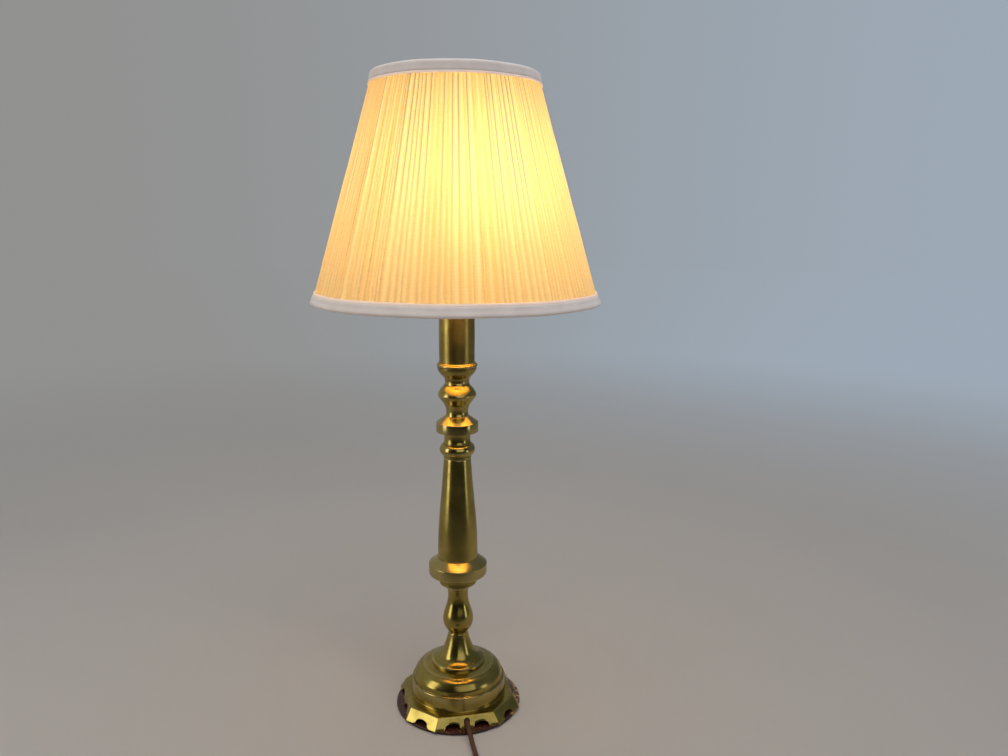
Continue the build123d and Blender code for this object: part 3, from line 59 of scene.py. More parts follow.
Triple = tuple[float, float, float]
Profile = list[Pair]
Piece = bpy.types.Object
Link = bpy.types.NodeSocket


class Body(Enum):
    """The bodies of the lamp that turn against each other."""

    LAMP = "lamp"
    SWITCH = "switch"
    SHADE = "shade"
    FINIAL = "finial"


# --- curves and surfaces ---
def through(points: Sequence[Pair], count: int) -> Profile:
    """A smooth line through points: a natural cubic spline over the length of the chords.

    Args:
        points: Places that the line passes, in order.
        count: How many points the finished line has.

    Returns:
        The line's points.
    """
    places = np.array(points, float)
    steps = np.linalg.norm(np.diff(places, axis=0), axis=1)
    knots = np.concatenate([[0.0], np.cumsum(steps)])
    size = len(places)
    system = np.zeros((size, size))
    right = np.zeros((size, 2))
    system[0, 0] = system[-1, -1] = 1.0
    inner = np.arange(1, size - 1)
    system[inner, inner - 1] = steps[:-1]
    system[inner, inner] = 2.0 * (steps[:-1] + steps[1:])
    system[inner, inner + 1] = steps[1:]
    slopes = np.diff(places, axis=0) / steps[:, None]
    right[1:-1] = 6.0 * np.diff(slopes, axis=0)
    bends = np.linalg.solve(system, right)
    at = np.linspace(0.0, knots[-1], count)
    cell = np.clip(np.searchsorted(knots, at, side="right") - 1, 0, size - 2)
    step = steps[cell][:, None]
    before = (knots[cell + 1] - at)[:, None] / step
    after = 1.0 - before
    line = (
        before * places[cell]
        + after * places[cell + 1]
        + ((before**3 - before) * bends[cell] + (after**3 - after) * bends[cell + 1]) * step**2 / 6.0
    )
    return [tuple(point) for point in line]


def arc(start: Pair, middle: Pair, end: Pair, count: int = 9) -> Profile:
    """Points along the circle through three places.

    The centre lies at the same distance from all three. The arc's turn is the turn to the middle
    place and then on to the end.

    Args:
        start: The first place.
        middle: A place on the way.
        end: The last place.
        count: How many points there are.

    Returns:
        The points in order.
    """
    (ax, ay), (bx, by), (cx, cy) = start, middle, end
    twice = 2.0 * (ax * (by - cy) + bx * (cy - ay) + cx * (ay - by))
    a2, b2, c2 = ax * ax + ay * ay, bx * bx + by * by, cx * cx + cy * cy
    ux = (a2 * (by - cy) + b2 * (cy - ay) + c2 * (ay - by)) / twice
    uy = (a2 * (cx - bx) + b2 * (ax - cx) + c2 * (bx - ax)) / twice
    first = math.atan2(ay - uy, ax - ux)
    half = (math.atan2(by - uy, bx - ux) - first + math.pi) % math.tau - math.pi
    rest = (math.atan2(cy - uy, cx - ux) - first - half + math.pi) % math.tau - math.pi
    radius = math.hypot(ax - ux, ay - uy)
    return [(ux + radius * math.cos(first + turn), uy + radius * math.sin(first + turn))
            for turn in np.linspace(0.0, half + rest, count)]


def quadratic(start: np.ndarray, corner: np.ndarray, end: np.ndarray, count: int) -> np.ndarray:
    """Places on the quadratic curve from start to end that bends towards a corner."""
    share = np.linspace(0.0, 1.0, count)[:, None]
    return (1 - share) ** 2 * start + 2 * share * (1 - share) * corner + share**2 * end


def soften(outline: Profile, radius: float) -> Profile:
    """Rounds the corners of a closed outline that turn by more than 22 degrees.

    Each corner gives way to a quadratic curve that starts and ends one radius from it, or at two
    fifths of a shorter side.

    Args:
        outline: The outline's corners in order, in millimetres.
        radius: How far from a corner its curve starts, in millimetres.

    Returns:
        The outline with its corners rounded.
    """
    points = np.array([p for i, p in enumerate(outline) if math.dist(p, outline[i - 1]) > 1e-6])
    rounded: Profile = []
    for before, corner, after in zip(np.roll(points, 1, 0), points, np.roll(points, -1, 0)):
        back, ahead = before - corner, after - corner
        reach_back, reach_ahead = np.linalg.norm(back), np.linalg.norm(ahead)
        cosine = float(np.clip(back @ ahead / (reach_back * reach_ahead), -1.0, 1.0))
        if math.pi - math.acos(cosine) < math.radians(22):
            rounded.append(tuple(corner))
            continue
        cut = min(radius, 0.4 * reach_back, 0.4 * reach_ahead)
        start, end = corner + back / reach_back * cut, corner + ahead / reach_ahead * cut
        rounded += map(tuple, quadratic(start, corner, end, 4))
    return rounded


def polar(radius: np.ndarray | float, angle: np.ndarray, height: np.ndarray | float) -> np.ndarray:
    """A grid of places from radii, turns and heights whose rows and columns match."""
    parts = np.broadcast_arrays(radius * np.cos(angle), radius * np.sin(angle), height)
    return np.stack(parts, axis=-1)


def capped(grid: np.ndarray, start: np.ndarray, end: np.ndarray) -> np.ndarray:
    """A tube's grid with a pole before its first row and a pole after its last."""
    first, last = (np.tile(place, (1, grid.shape[1], 1)) for place in (start, end))
    return np.concatenate([first, grid, last])


def linked(name: str, data: bpy.types.ID) -> Piece:
    """A new object, in the scene."""
    piece = bpy.data.objects.new(name, data)
    bpy.context.scene.collection.objects.link(piece)
    return piece


def mark(mesh: bpy.types.Mesh, name: str, numbers: np.ndarray) -> None:
    """Stores a number for each place of a mesh, for its finish to read."""
    layer = mesh.attributes.new(name, "FLOAT", "POINT")
    layer.data.foreach_set("value", numbers.ravel().astype(np.float32))


def places_of(mesh: bpy.types.Mesh) -> np.ndarray:
    """The places of a mesh, in metres."""
    places = np.empty(len(mesh.vertices) * 3)
    mesh.vertices.foreach_get("co", places)
    return places.reshape(-1, 3)


def surface(name: str, grid: np.ndarray, along: bool = False,
            values: dict[str, np.ndarray] | None = None, flat_uv: np.ndarray | None = None,
            sharp: float = 40.0) -> Piece:
    """Makes a mesh object from a grid of places.

    Every cell of the grid is a face between four neighbours, and the last column joins the first.
    Places that coincide, as at a pole, become one.

    Args:
        name: The object's name.
        grid: Places as rows, columns and three coordinates, in metres.
        along: Whether the last row joins the first.
        values: A number for each place, by attribute name.
        flat_uv: The cloth's flat place for each grid place, in metres.
        sharp: Edges that turn by more than this stay sharp, in degrees.

    Returns:
        The new object, linked to the scene.
    """
    rows, columns = grid.shape[:2]
    row = np.arange(rows if along else rows - 1)[:, None]
    column = np.arange(columns)
    beside, above = (column + 1) % columns, (row + 1) % rows
    faces = np.stack([row * columns + column, row * columns + beside, above * columns + beside,
                      above * columns + column], axis=-1).reshape(-1, 4)
    mesh = bpy.data.meshes.new(name)
    mesh.from_pydata(grid.reshape(-1, 3).tolist(), [], faces.tolist())
    if flat_uv is not None:
        places = flat_uv.reshape(-1, 2)[faces.ravel()].astype(np.float32)
        mesh.uv_layers.new(name="flat").data.foreach_set("uv", places.ravel())
    for key, numbers in (values or {}).items():
        mark(mesh, key, numbers)
    piece = linked(name, mesh)
    tidy_mesh(piece, sharp)
    return piece


def tidy_mesh(piece: Piece, sharp: float) -> None:
    """Merges a mesh's coincident places, turns its faces outwards and smooths its shading.

    Args:
        piece: The piece, whose mesh is changed.
        sharp: Edges that turn by more than this stay sharp, in degrees.
    """
    shape = bmesh.new()
    shape.from_mesh(piece.data)
    bmesh.ops.remove_doubles(shape, verts=shape.verts[:], dist=2e-6)
    bmesh.ops.dissolve_degenerate(shape, dist=1e-7, edges=shape.edges[:])
    if shape.calc_volume(signed=True) < 0:
        bmesh.ops.reverse_faces(shape, faces=shape.faces[:])
    shape.to_mesh(piece.data)
    shape.free()
    piece.data.shade_smooth()
    piece.data.set_sharp_from_angle(angle=math.radians(sharp))


def turned(name: str, outline: Profile, segments: int = 160, corner: float = 0.4,
           closed: bool = True) -> Piece:
    """A turning: an outline of radii and heights carried round the upright axis.

    Args:
        name: The object's name.
        outline: Radii and heights in millimetres.
        segments: Faces round the axis.
        corner: The rounding of the outline's corners, in millimetres.
        closed: Whether the outline's end joins its start; if not, it starts and ends on the axis.

    Returns:
        The new object.
    """
    line = np.array(soften(outline, corner) if closed else outline) * MM
    grid = polar(line[:, :1], np.arange(segments) * math.tau / segments, line[:, 1:])
    hollow = np.repeat(hollows(line)[:, None], segments, axis=1)
    return surface(name, grid, along=closed, values={"hollow": hollow})


def hollows(line: np.ndarray) -> np.ndarray:
    """How far each place of a turned outline lies in a hollow.

    It is the distance from a place to the middle of two places 1.5 mm up and down the outline,
    over 0.35 mm, positive where the outline bends away from the axis.

    Args:
        line: The outline's radii and heights, in metres.

    Returns:
        A number for each place, from -1 on an edge to 1 in a groove.
    """
    steps = np.linalg.norm(np.diff(line, axis=0), axis=1)
    length = np.concatenate([[0.0], np.cumsum(steps)])
    before, after = (
        np.stack([np.interp(length + reach * MM, length, part) for part in line.T], axis=1)
        for reach in (-1.5, 1.5)
    )
    way = after - before
    side = np.stack([way[:, 1], -way[:, 0]], axis=1)
    side /= np.maximum(np.linalg.norm(side, axis=1, keepdims=True), 1e-9)
    bend = (before + after) / 2 - line
    return np.clip((bend * side).sum(axis=1) / (0.35 * MM), -1.0, 1.0)


def swept(name: str, path: np.ndarray, section: np.ndarray, roll: np.ndarray | float = 0.0,
          across: Triple | None = None) -> Piece:
    """A section carried along a path and closed at both ends.

    The section's first axis is level and square to the path, and its second is square to both.
    Each end narrows to a pole in one step.

    Args:
        name: The object's name.
        path: Places along the path, in metres.
        section: Places of the section, in metres.
        roll: How far the section is turned about the path at each place, in radians.
        across: The section's first axis, where the path lies in one upright plane.

    Returns:
        The new object.
    """
    way = np.gradient(path, axis=0)
    way /= np.linalg.norm(way, axis=1, keepdims=True)
    level = np.cross(way, UP) if across is None else np.tile(across, (len(path), 1))
    level[np.linalg.norm(level, axis=1) < 1e-4] = (1.0, 0.0, 0.0)
    level /= np.linalg.norm(level, axis=1, keepdims=True)
    over = np.cross(level, way)
    turn = np.broadcast_to(roll, len(path))[:, None]
    first = level * np.cos(turn) + over * np.sin(turn)
    second = over * np.cos(turn) - level * np.sin(turn)
    grid = (path[:, None, :] + section[:, :1] * first[:, None, :]
            + section[:, 1:] * second[:, None, :])
    return surface(name, capped(grid, path[0], path[-1]))


def circle(radius: float, sides: int) -> np.ndarray:
    """A round section in metres from a radius in millimetres."""
    angle = np.arange(sides) * math.tau / sides
    return np.stack([np.cos(angle), np.sin(angle)], axis=1) * radius * MM


def bent(points: Sequence[Triple], count: int = 25) -> np.ndarray:
    """A wire bent along a route: quadratic curves between the middles of its runs.

    Args:
        points: The route's corners in millimetres.
        count: How many places the wire has at each corner.

    Returns:
        Places along the wire in metres.
    """
    corners = np.array(points) * MM
    middles = (corners[:-1] + corners[1:]) / 2
    middles[0], middles[-1] = corners[0], corners[-1]
    bends = [quadratic(*places, count) for places in zip(middles, corners[1:-1], middles[1:])]
    return np.concatenate([bends[0], *(bend[1:] for bend in bends[1:])])


def moulded(name: str, start: np.ndarray, way: np.ndarray, level: np.ndarray,
            sizes: np.ndarray, sides: int) -> Piece:
    """A moulded body: super-ellipses along a level line, closed at both ends.

    At an angle a section reaches its half width times the cosine sideways and its half height
    times the sine upwards. Both are raised to the power of 2 over the squareness, and keep their
    signs.

    Args:
        name: The object's name.
        start: Where the line starts, in millimetres.
        way: The line's direction.
        level: The direction of the sections' width.
        sizes: Each section's place along the line, half width, half height and squareness.
        sides: Places round a section.

    Returns:
        The new object.
    """
    along, wide, tall, square = sizes[:, :, None]
    angle = np.arange(sides) * math.tau / sides
    reach, rise = (np.sign(wave) * np.abs(wave) ** (2.0 / square)
                   for wave in (np.cos(angle), np.sin(angle)))
    middle = start + along * way
    grid = (middle[:, None, :] + (wide * reach)[:, :, None] * level
            + (tall * rise)[:, :, None] * UP)
    return surface(name, capped(grid, middle[0], middle[-1]) * MM)


def worked_out(piece: Piece) -> bpy.types.Mesh:
    """A new mesh of what an object's modifiers or its spline give."""
    graph = bpy.context.evaluated_depsgraph_get()
    return bpy.data.meshes.new_from_object(piece.evaluated_get(graph))


def bore(piece: Piece, ends: np.ndarray, radius: float, sharp: float) -> None:
    """Bores a round hole into a piece.

    Args:
        piece: The piece, whose mesh is replaced.
        ends: Both ends of the hole's axis, in millimetres.
        radius: The hole's radius in millimetres.
        sharp: Edges that turn by more than this stay sharp, in degrees.
    """
    drill = swept("drill", ends * MM, circle(radius, 40))
    cut = piece.modifiers.new("bore", "BOOLEAN")
    cut.operation = "DIFFERENCE"
    cut.solver = "EXACT"
    cut.object = drill
    bored = worked_out(piece)
    piece.modifiers.clear()
    piece.data = bored
    bpy.data.objects.remove(drill)
    tidy_mesh(piece, sharp)


def join(name: str, *parts: Piece) -> Piece:
    """Makes one object of several.

    Args:
        name: The new object's name.
        *parts: The objects, which are removed.

    Returns:
        The new object.
    """
    shape = bmesh.new()
    for part in parts:
        shape.from_mesh(part.data)
        bpy.data.objects.remove(part)
    mesh = bpy.data.meshes.new(name)
    shape.to_mesh(mesh)
    shape.free()
    mesh.shade_smooth()
    mesh.set_sharp_from_angle(angle=math.radians(40))
    return linked(name, mesh)


# --- finishes ---
class Sheet:
    """The node tree of a material or of the world, while it is built."""

    def __init__(self, owner: bpy.types.Material | bpy.types.World) -> None:
        """Empties the owner's tree."""
        owner.use_nodes = True
        self.tree = owner.node_tree
        self.tree.nodes.clear()

    def add(self, kind: str, settings: dict | None = None, **inputs: object) -> bpy.types.Node:
        """Adds a node.

        Args:
            kind: The node's type without its ShaderNode start.
            settings: Properties of the node.
            **inputs: Values or links by socket name, with _ for a space; a link is an output
                socket. A name such as in2 is the socket of that number.

        Returns:
            The node.
        """
        node = self.tree.nodes.new("ShaderNode" + kind)
        for key, value in (settings or {}).items():
            setattr(node, key, value)
        for key, value in inputs.items():
            number = key.removeprefix("in")
            socket = node.inputs[int(number) if number.isdigit() else key.replace("_", " ")]
            if isinstance(value, Link):
                self.tree.links.new(value, socket)
            elif socket.type == "RGBA" and len(value) == 3:
                socket.default_value = (*value, 1.0)
            else:
                socket.default_value = value
        return node

    def blend(self, share: object, first: object, second: object, mode: str = "MIX") -> Link:
        """Mixes two colours by a share."""
        settings = {"data_type": "RGBA", "blend_type": mode}
        return self.add("Mix", settings, in0=share, in6=first, in7=second).outputs[2]

    def ranged(self, value: Link, low: float, high: float, to_low: float = 0.0,
               to_high: float = 1.0) -> Link:
        """Maps a number from one range smoothly to another."""
        return self.add("MapRange", {"interpolation_type": "SMOOTHSTEP"}, Value=value, From_Min=low,
                        From_Max=high, To_Min=to_low, To_Max=to_high).outputs[0]

    def maths(self, operation: str, *values: object) -> Link:
        """A working of one or two numbers."""
        inputs = {f"in{place}": value for place, value in enumerate(values)}
        return self.add("Math", {"operation": operation}, **inputs).outputs[0]

    def times(self, first: object, second: object) -> Link:
        """The product of two numbers."""
        return self.maths("MULTIPLY", first, second)

    def plus(self, first: object, second: object) -> Link:
        """The sum of two numbers."""
        return self.maths("ADD", first, second)

    def apart(self, value: Link, middle: float) -> Link:
        """How far a number lies from another, either way."""
        return self.maths("ABSOLUTE", self.maths("SUBTRACT", value, middle))

    def placed(self, stretch: Triple = (1.0, 1.0, 1.0), source: str = "Object") -> Link:
        """The place on the piece, stretched for a pattern."""
        place = self.add("TexCoord").outputs[source]
        return self.add("Mapping", Vector=place, Scale=stretch).outputs[0]

    def part(self, vector: Link, axis: int) -> Link:
        """One coordinate of a place."""
        return self.add("SeparateXYZ", Vector=vector).outputs[axis]

    def noise(self, place: Link, scale: float, detail: float = 3.0,
              roughness: float = 0.55) -> Link:
        """A cloudy pattern between 0 and 1."""
        return self.add("TexNoise", Vector=place, Scale=scale, Detail=detail,
                        Roughness=roughness).outputs[0]

    def value_of(self, name: str) -> Link:
        """A number stored on the mesh."""
        return self.add("Attribute", {"attribute_name": name}).outputs["Fac"]

    def bump(self, height: Link, depth: float, **under: Link) -> Link:
        """A relief of that depth in metres; another one under it is given as Normal."""
        return self.add("Bump", Height=height, Distance=depth, Strength=1.0, **under).outputs[0]

    def skin(self, **inputs: object) -> Link:
        """The shader of most finishes."""
        return self.add("BsdfPrincipled", **inputs).outputs[0]

    def mixed(self, share: object, first: Link, second: Link) -> Link:
        """Mixes two shaders by a share."""
        return self.add("MixShader", in0=share, in1=first, in2=second).outputs[0]

    def lets_light_by(self, shader: Link, tint: Triple, share: float = 1.0) -> Link:
        """Lets a tinted share of the lamp's light pass, where shadows are worked out."""
        rays = self.times(self.add("LightPath").outputs["Is Shadow Ray"], share)
        return self.mixed(rays, shader, self.add("BsdfTransparent", Color=tint).outputs[0])


@dataclass(frozen=True)
class Finish:
    """A finish by its slot's name. Each kind of finish has its own shader."""

    name: str

    def shader(self, sheet: Sheet) -> Link:
        """Adds the finish's nodes.

        Args:
            sheet: The tree that they go into.

        Returns:
            The shader at their end.
        """
        raise NotImplementedError

    def material(self) -> bpy.types.Material:
        """Builds the material."""
        material = bpy.data.materials.new(self.name)
        sheet = Sheet(material)
        sheet.add("OutputMaterial", Surface=self.shader(sheet))
        return material


@dataclass(frozen=True)
class Brass(Finish):
    """Brass with turning marks, slow changes of tone, and tarnish in its hollows."""

    name: str = "aged_brass"
    bright: Triple = (0.56, 0.43, 0.115)
    dull: Triple = (0.40, 0.30, 0.07)
    tarnish: Triple = (0.12, 0.085, 0.03)
    rubbed: Triple = (0.74, 0.60, 0.26)
    stain: Triple = (0.30, 0.20, 0.07)
    roughness: float = 0.2
    turned: bool = True

    def shader(self, sheet: Sheet) -> Link:
        """Metal with clouds, spots, dark grooves, rubbed edges, stains where worn, and marks."""
        place = sheet.placed()
        clouds = sheet.ranged(sheet.noise(place, 38.0, 4.0), 0.35, 0.68)
        tone = sheet.blend(clouds, self.bright, self.dull)
        spots = sheet.ranged(sheet.noise(place, 420.0, 5.0, 0.7), 0.7, 0.84, 0.0, 0.4)
        tone = sheet.blend(spots, tone, self.tarnish)
        hollow = sheet.value_of("hollow") if self.turned else spots
        groove = sheet.ranged(hollow, 0.1, 0.9, 0.0, 0.45)
        tone = sheet.blend(groove, tone, self.tarnish)
        if self.turned:
            tone = sheet.blend(sheet.ranged(hollow, -0.15, -0.9, 0.0, 0.5), tone, self.rubbed)
        smear = sheet.noise(place, 70.0, 3.0, 0.5)
        worn = sheet.value_of("worn")
        stains = sheet.times(worn, sheet.ranged(smear, 0.38, 0.62, 0.1, 0.45))
        tone = sheet.blend(stains, tone, self.stain)
        rough = sheet.ranged(smear, 0.3, 0.75, self.roughness - 0.03, self.roughness + 0.07)
        rough = sheet.plus(rough, sheet.plus(sheet.times(groove, 0.2), sheet.times(worn, 0.11)))
        stretch = (40.0, 40.0, 1900.0) if self.turned else (900.0, 240.0, 900.0)
        marks = sheet.noise(sheet.placed(stretch), 1.0, 1.0)
        dents = sheet.bump(sheet.noise(place, 45.0, 1.0), 0.000008)
        return sheet.skin(Base_Color=tone, Metallic=1.0, Roughness=rough,
                          Normal=sheet.bump(marks, 0.000003, Normal=dents))


@dataclass(frozen=True)
class Enamel(Finish):
    """Dark red-brown enamel with a gloss coat, a few worn flecks, and lighter gold-brown flecks along
    its right rim.
    """

    name: str = "brown_metal"
    colour: Triple = (0.040, 0.010, 0.007)
    deep: Triple = (0.018, 0.006, 0.004)
    worn: Triple = (0.22, 0.11, 0.045)
    rim_fleck_tone: Triple = (0.50, 0.34, 0.12)

    def shader(self, sheet: Sheet) -> Link:
        """Coated enamel with worn flecks, and lighter gold-brown flecks near its right rim."""
        place = sheet.placed()
        tone = sheet.blend(sheet.noise(place, 55.0, 4.0), self.colour, self.deep)
        flecks = sheet.ranged(sheet.noise(place, 620.0, 3.0, 0.8), 0.71, 0.76)
        tone = sheet.blend(flecks, tone, self.worn)
        # lighter gold-brown flecks, only near the rim on the right side
        rim_flecks = sheet.ranged(sheet.noise(place, 260.0, 4.0, 0.8), 0.5, 0.56)
        rim = sheet.ranged(sheet.part(place, 0), 0.058, 0.065, 0.0, 0.85)
        tone = sheet.blend(sheet.times(rim_flecks, rim), tone, self.rim_fleck_tone)
        rough = sheet.ranged(sheet.noise(place, 140.0, 4.0), 0.3, 0.8, 0.18, 0.42)
        return sheet.skin(Base_Color=tone, Roughness=rough, Coat_Weight=0.25, Coat_Roughness=0.15,
                          Normal=sheet.bump(sheet.noise(place, 800.0, 2.0), 0.00003))


@dataclass(frozen=True)
class Plain(Finish):
    """A plain hard finish with slow changes of tone, gloss and a fine grain."""

    colour: Triple
    shade: Triple
    metallic: float = 0.0
    roughness: float = 0.4
    depth: float = 0.00002

    def shader(self, sheet: Sheet) -> Link:
        """One even material between two tones."""
        place = sheet.placed()
        clouds = sheet.ranged(sheet.noise(place, 70.0, 4.0), 0.3, 0.7)
        rough = sheet.ranged(sheet.noise(place, 260.0, 3.0), 0.3, 0.7, self.roughness * 0.8,
                             self.roughness * 1.25)
        return sheet.skin(Base_Color=sheet.blend(clouds, self.colour, self.shade),
                          Metallic=self.metallic, Roughness=rough,
                          Normal=sheet.bump(sheet.noise(place, 900.0, 3.0), self.depth))


@dataclass(frozen=True)
class LitGlass(Finish):
    """Frosted glass with the light on; it lets the lamp's light through."""

    name: str = "bulb_glass"
    frosted: Triple = (0.95, 0.92, 0.86)
    glow: Triple = (1.0, 0.76, 0.42)
    strength: float = 1.8

    def shader(self, sheet: Sheet) -> Link:
        """Glowing frost."""
        frost = sheet.bump(sheet.noise(sheet.placed(), 900.0, 2.0), 0.00001)
        glass = sheet.skin(Base_Color=self.frosted, Roughness=0.35, Emission_Color=self.glow,
                           Emission_Strength=self.strength, Normal=frost)
        return sheet.lets_light_by(glass, (1.0, 1.0, 1.0))


@dataclass(frozen=True)
class Backing(Finish):
    """Milky plastic sheet behind the pleats; its inner wall carries a painted glow of the bulb's
    light, strongest at the bulb's height.
    """

    name: str = "shade_backing"
    milk: Triple = (0.52, 0.38, 0.17)
    cream: Triple = (0.47, 0.33, 0.14)
    glow: Triple = (1.0, 0.50, 0.09)
    bulb_height: float = 0.575

    def shader(self, sheet: Sheet) -> Link:
        """Milky plastic with the bulb's light painted on its inside as a glow; it passes most light.
        """
        place = sheet.placed()
        # painted light: the inner wall's glow stands in for the bulb's light falling on it, brighter
        # near the bulb's height
        away = sheet.apart(sheet.part(place, 2), self.bulb_height)
        lit = sheet.times(sheet.ranged(away, 0.0, 0.125, 1.3, 0.7), sheet.value_of("inner"))
        tone = sheet.blend(sheet.noise(place, 40.0), self.milk, self.cream)
        plastic = sheet.skin(Base_Color=tone, Roughness=0.5, Emission_Color=self.glow,
                             Emission_Strength=lit)
        return sheet.lets_light_by(plastic, (0.96, 0.93, 0.88))


@dataclass(frozen=True)
class PleatedCloth(Finish):
    """Thin off-white cloth in pleats, with slubs in its weave, lit from inside, with the bulb's light
    also painted on as a glow.

    The colours named passes are those of light that comes through, and tones are the cloth's own,
    except the tone of the painted shade in pleat valleys.
    """

    name: str = "shade_cloth"
    single_passes: Triple = (0.92, 0.62, 0.12)
    doubled_passes: Triple = (0.98, 0.86, 0.52)
    thread_passes: Triple = (0.66, 0.42, 0.13)
    valley_shade_passes: Triple = (0.30, 0.24, 0.18)
    far_glow: Triple = (1.0, 0.60, 0.12)
    near_glow: Triple = (1.0, 0.70, 0.14)
    open_tone: Triple = (0.74, 0.62, 0.40)
    close_tone: Triple = (0.56, 0.45, 0.27)
    valley_shade_tone: Triple = (0.30, 0.26, 0.22)
    # the height where the cloth's painted glow is strongest
    hot_height: float = 0.583

    def valley_shade(self, sheet: Sheet, fold: Link, tone: Link, height: Link) -> Link:
        """How much painted shade lies in the valley of a pleat: some pleats only, and more so higher
        up.
        """
        valley_shade = sheet.times(sheet.ranged(fold, 0.0, 0.2, 1.0, 0.0), sheet.ranged(tone, 0.52, 0.60))
        high = sheet.ranged(height, 0.50, 0.64)
        return sheet.times(valley_shade, sheet.ranged(high, 0.0, 1.0, 0.15, 0.85))

    def shader(self, sheet: Sheet) -> Link:
        """Cloth with a painted glow of the bulb's light and painted shade in some pleat valleys; it
        passes light and shows its weave.
        """
        fold, tone = sheet.value_of("fold"), sheet.value_of("tone")
        height = sheet.part(sheet.placed(), 2)
        # painted shade: darker lines in some pleat valleys, in the cloth's tone, its glow and the
        # light it passes
        valley_shade = self.valley_shade(sheet, fold, tone, height)
        threads = sheet.noise(sheet.placed((260.0, 2600.0, 1.0), "UV"), 1.0, 3.0, 0.7)
        slubs = sheet.noise(sheet.placed(source="UV"), 900.0, 3.0, 0.75)
        weave = sheet.plus(sheet.times(threads, 0.6), sheet.times(slubs, 0.4))
        weave = sheet.ranged(weave, 0.3, 0.72)
        doubled = sheet.ranged(fold, 0.25, 0.95)
        layers = sheet.plus(sheet.times(doubled, 0.62), sheet.times(tone, 0.38))
        rows = sheet.noise(sheet.placed((70.0, 1000.0, 1.0), "UV"), 1.0, 2.0, 0.6)
        passes = sheet.blend(layers, self.single_passes, self.doubled_passes)
        passes = sheet.blend(sheet.ranged(rows, 0.35, 0.7, 0.0, 0.3), passes, self.thread_passes)
        passes = sheet.blend(valley_shade, passes, self.valley_shade_passes)
        # painted light: this emission paints the bulb's glow on the cloth, strongest near the bulb's
        # height and on doubled layers
        near = sheet.ranged(sheet.apart(height, self.hot_height), 0.0, 0.13, 1.0, 0.0)
        glow = sheet.blend(near, self.far_glow, self.near_glow)
        strength = sheet.times(sheet.ranged(near, 0.0, 1.0, 0.20, 0.24),
                               sheet.ranged(layers, 0.0, 1.0, 0.78, 1.1))
        strength = sheet.times(strength, sheet.ranged(valley_shade, 0.0, 1.0, 1.0, 0.3))
        own = sheet.blend(valley_shade, sheet.blend(weave, self.open_tone, self.close_tone), self.valley_shade_tone)
        cloth = sheet.skin(Base_Color=own, Roughness=0.85, Sheen_Weight=0.2,
                           Emission_Color=sheet.blend(0.35, glow, passes, "MULTIPLY"),
                           Emission_Strength=strength, Normal=sheet.bump(weave, 0.00008))
        thin = sheet.add("BsdfTranslucent", Color=passes).outputs[0]
        return sheet.lets_light_by(sheet.mixed(0.42, cloth, thin), (0.85, 0.85, 0.85), 0.8)


@dataclass(frozen=True)
class TrimCloth(Finish):
    """The band folded over the shade's edges: close grey-white cloth with a painted glow, strongest
    on its lip.
    """

    name: str = "shade_trim"
    tone: Triple = (0.76, 0.70, 0.67)
    close_tone: Triple = (0.64, 0.58, 0.55)
    soiled: Triple = (0.52, 0.48, 0.46)
    glow: Triple = (1.0, 0.55, 0.28)

    def shader(self, sheet: Sheet) -> Link:
        """Close weave with a few soiled clouds, and the bulb's light painted on as a faint glow,
        strongest on the lip.
        """
        across = sheet.noise(sheet.placed((3000.0, 500.0, 1.0), "UV"), 1.0, 2.0)
        down = sheet.noise(sheet.placed((500.0, 3000.0, 1.0), "UV"), 1.0, 2.0)
        weave = sheet.times(sheet.plus(across, down), 0.5)
        tone = sheet.blend(sheet.ranged(weave, 0.3, 0.7), self.tone, self.close_tone)
        clouds = sheet.ranged(sheet.noise(sheet.placed(source="UV"), 60.0), 0.3, 0.7, 0.0, 0.3)
        # painted light: a faint glow over the whole trim and a stronger one on the lip stand in for
        # the bulb's light
        lit = sheet.ranged(sheet.value_of("lip"), 0.0, 1.0, 0.06, 0.3)
        return sheet.skin(Base_Color=sheet.blend(clouds, tone, self.soiled), Roughness=0.85,
                          Sheen_Weight=0.2, Emission_Color=self.glow, Emission_Strength=lit,
                          Normal=sheet.bump(weave, 0.0001))


@dataclass(frozen=True)
class Flex(Finish):
    """Soft brown plastic of the flat lead: half gloss with a fine grain."""

    name: str = "lead_brown"
    colour: Triple = (0.062, 0.024, 0.014)
    shade: Triple = (0.034, 0.014, 0.009)

    def shader(self, sheet: Sheet) -> Link:
        """Soft plastic between two browns."""
        place = sheet.placed()
        rough = sheet.ranged(sheet.noise(place, 300.0), 0.3, 0.7, 0.36, 0.55)
        tone = sheet.blend(sheet.noise(place, 60.0, 4.0), self.colour, self.shade)
        return sheet.skin(Base_Color=tone, Roughness=rough,
                          Normal=sheet.bump(sheet.noise(place, 700.0), 0.00002))


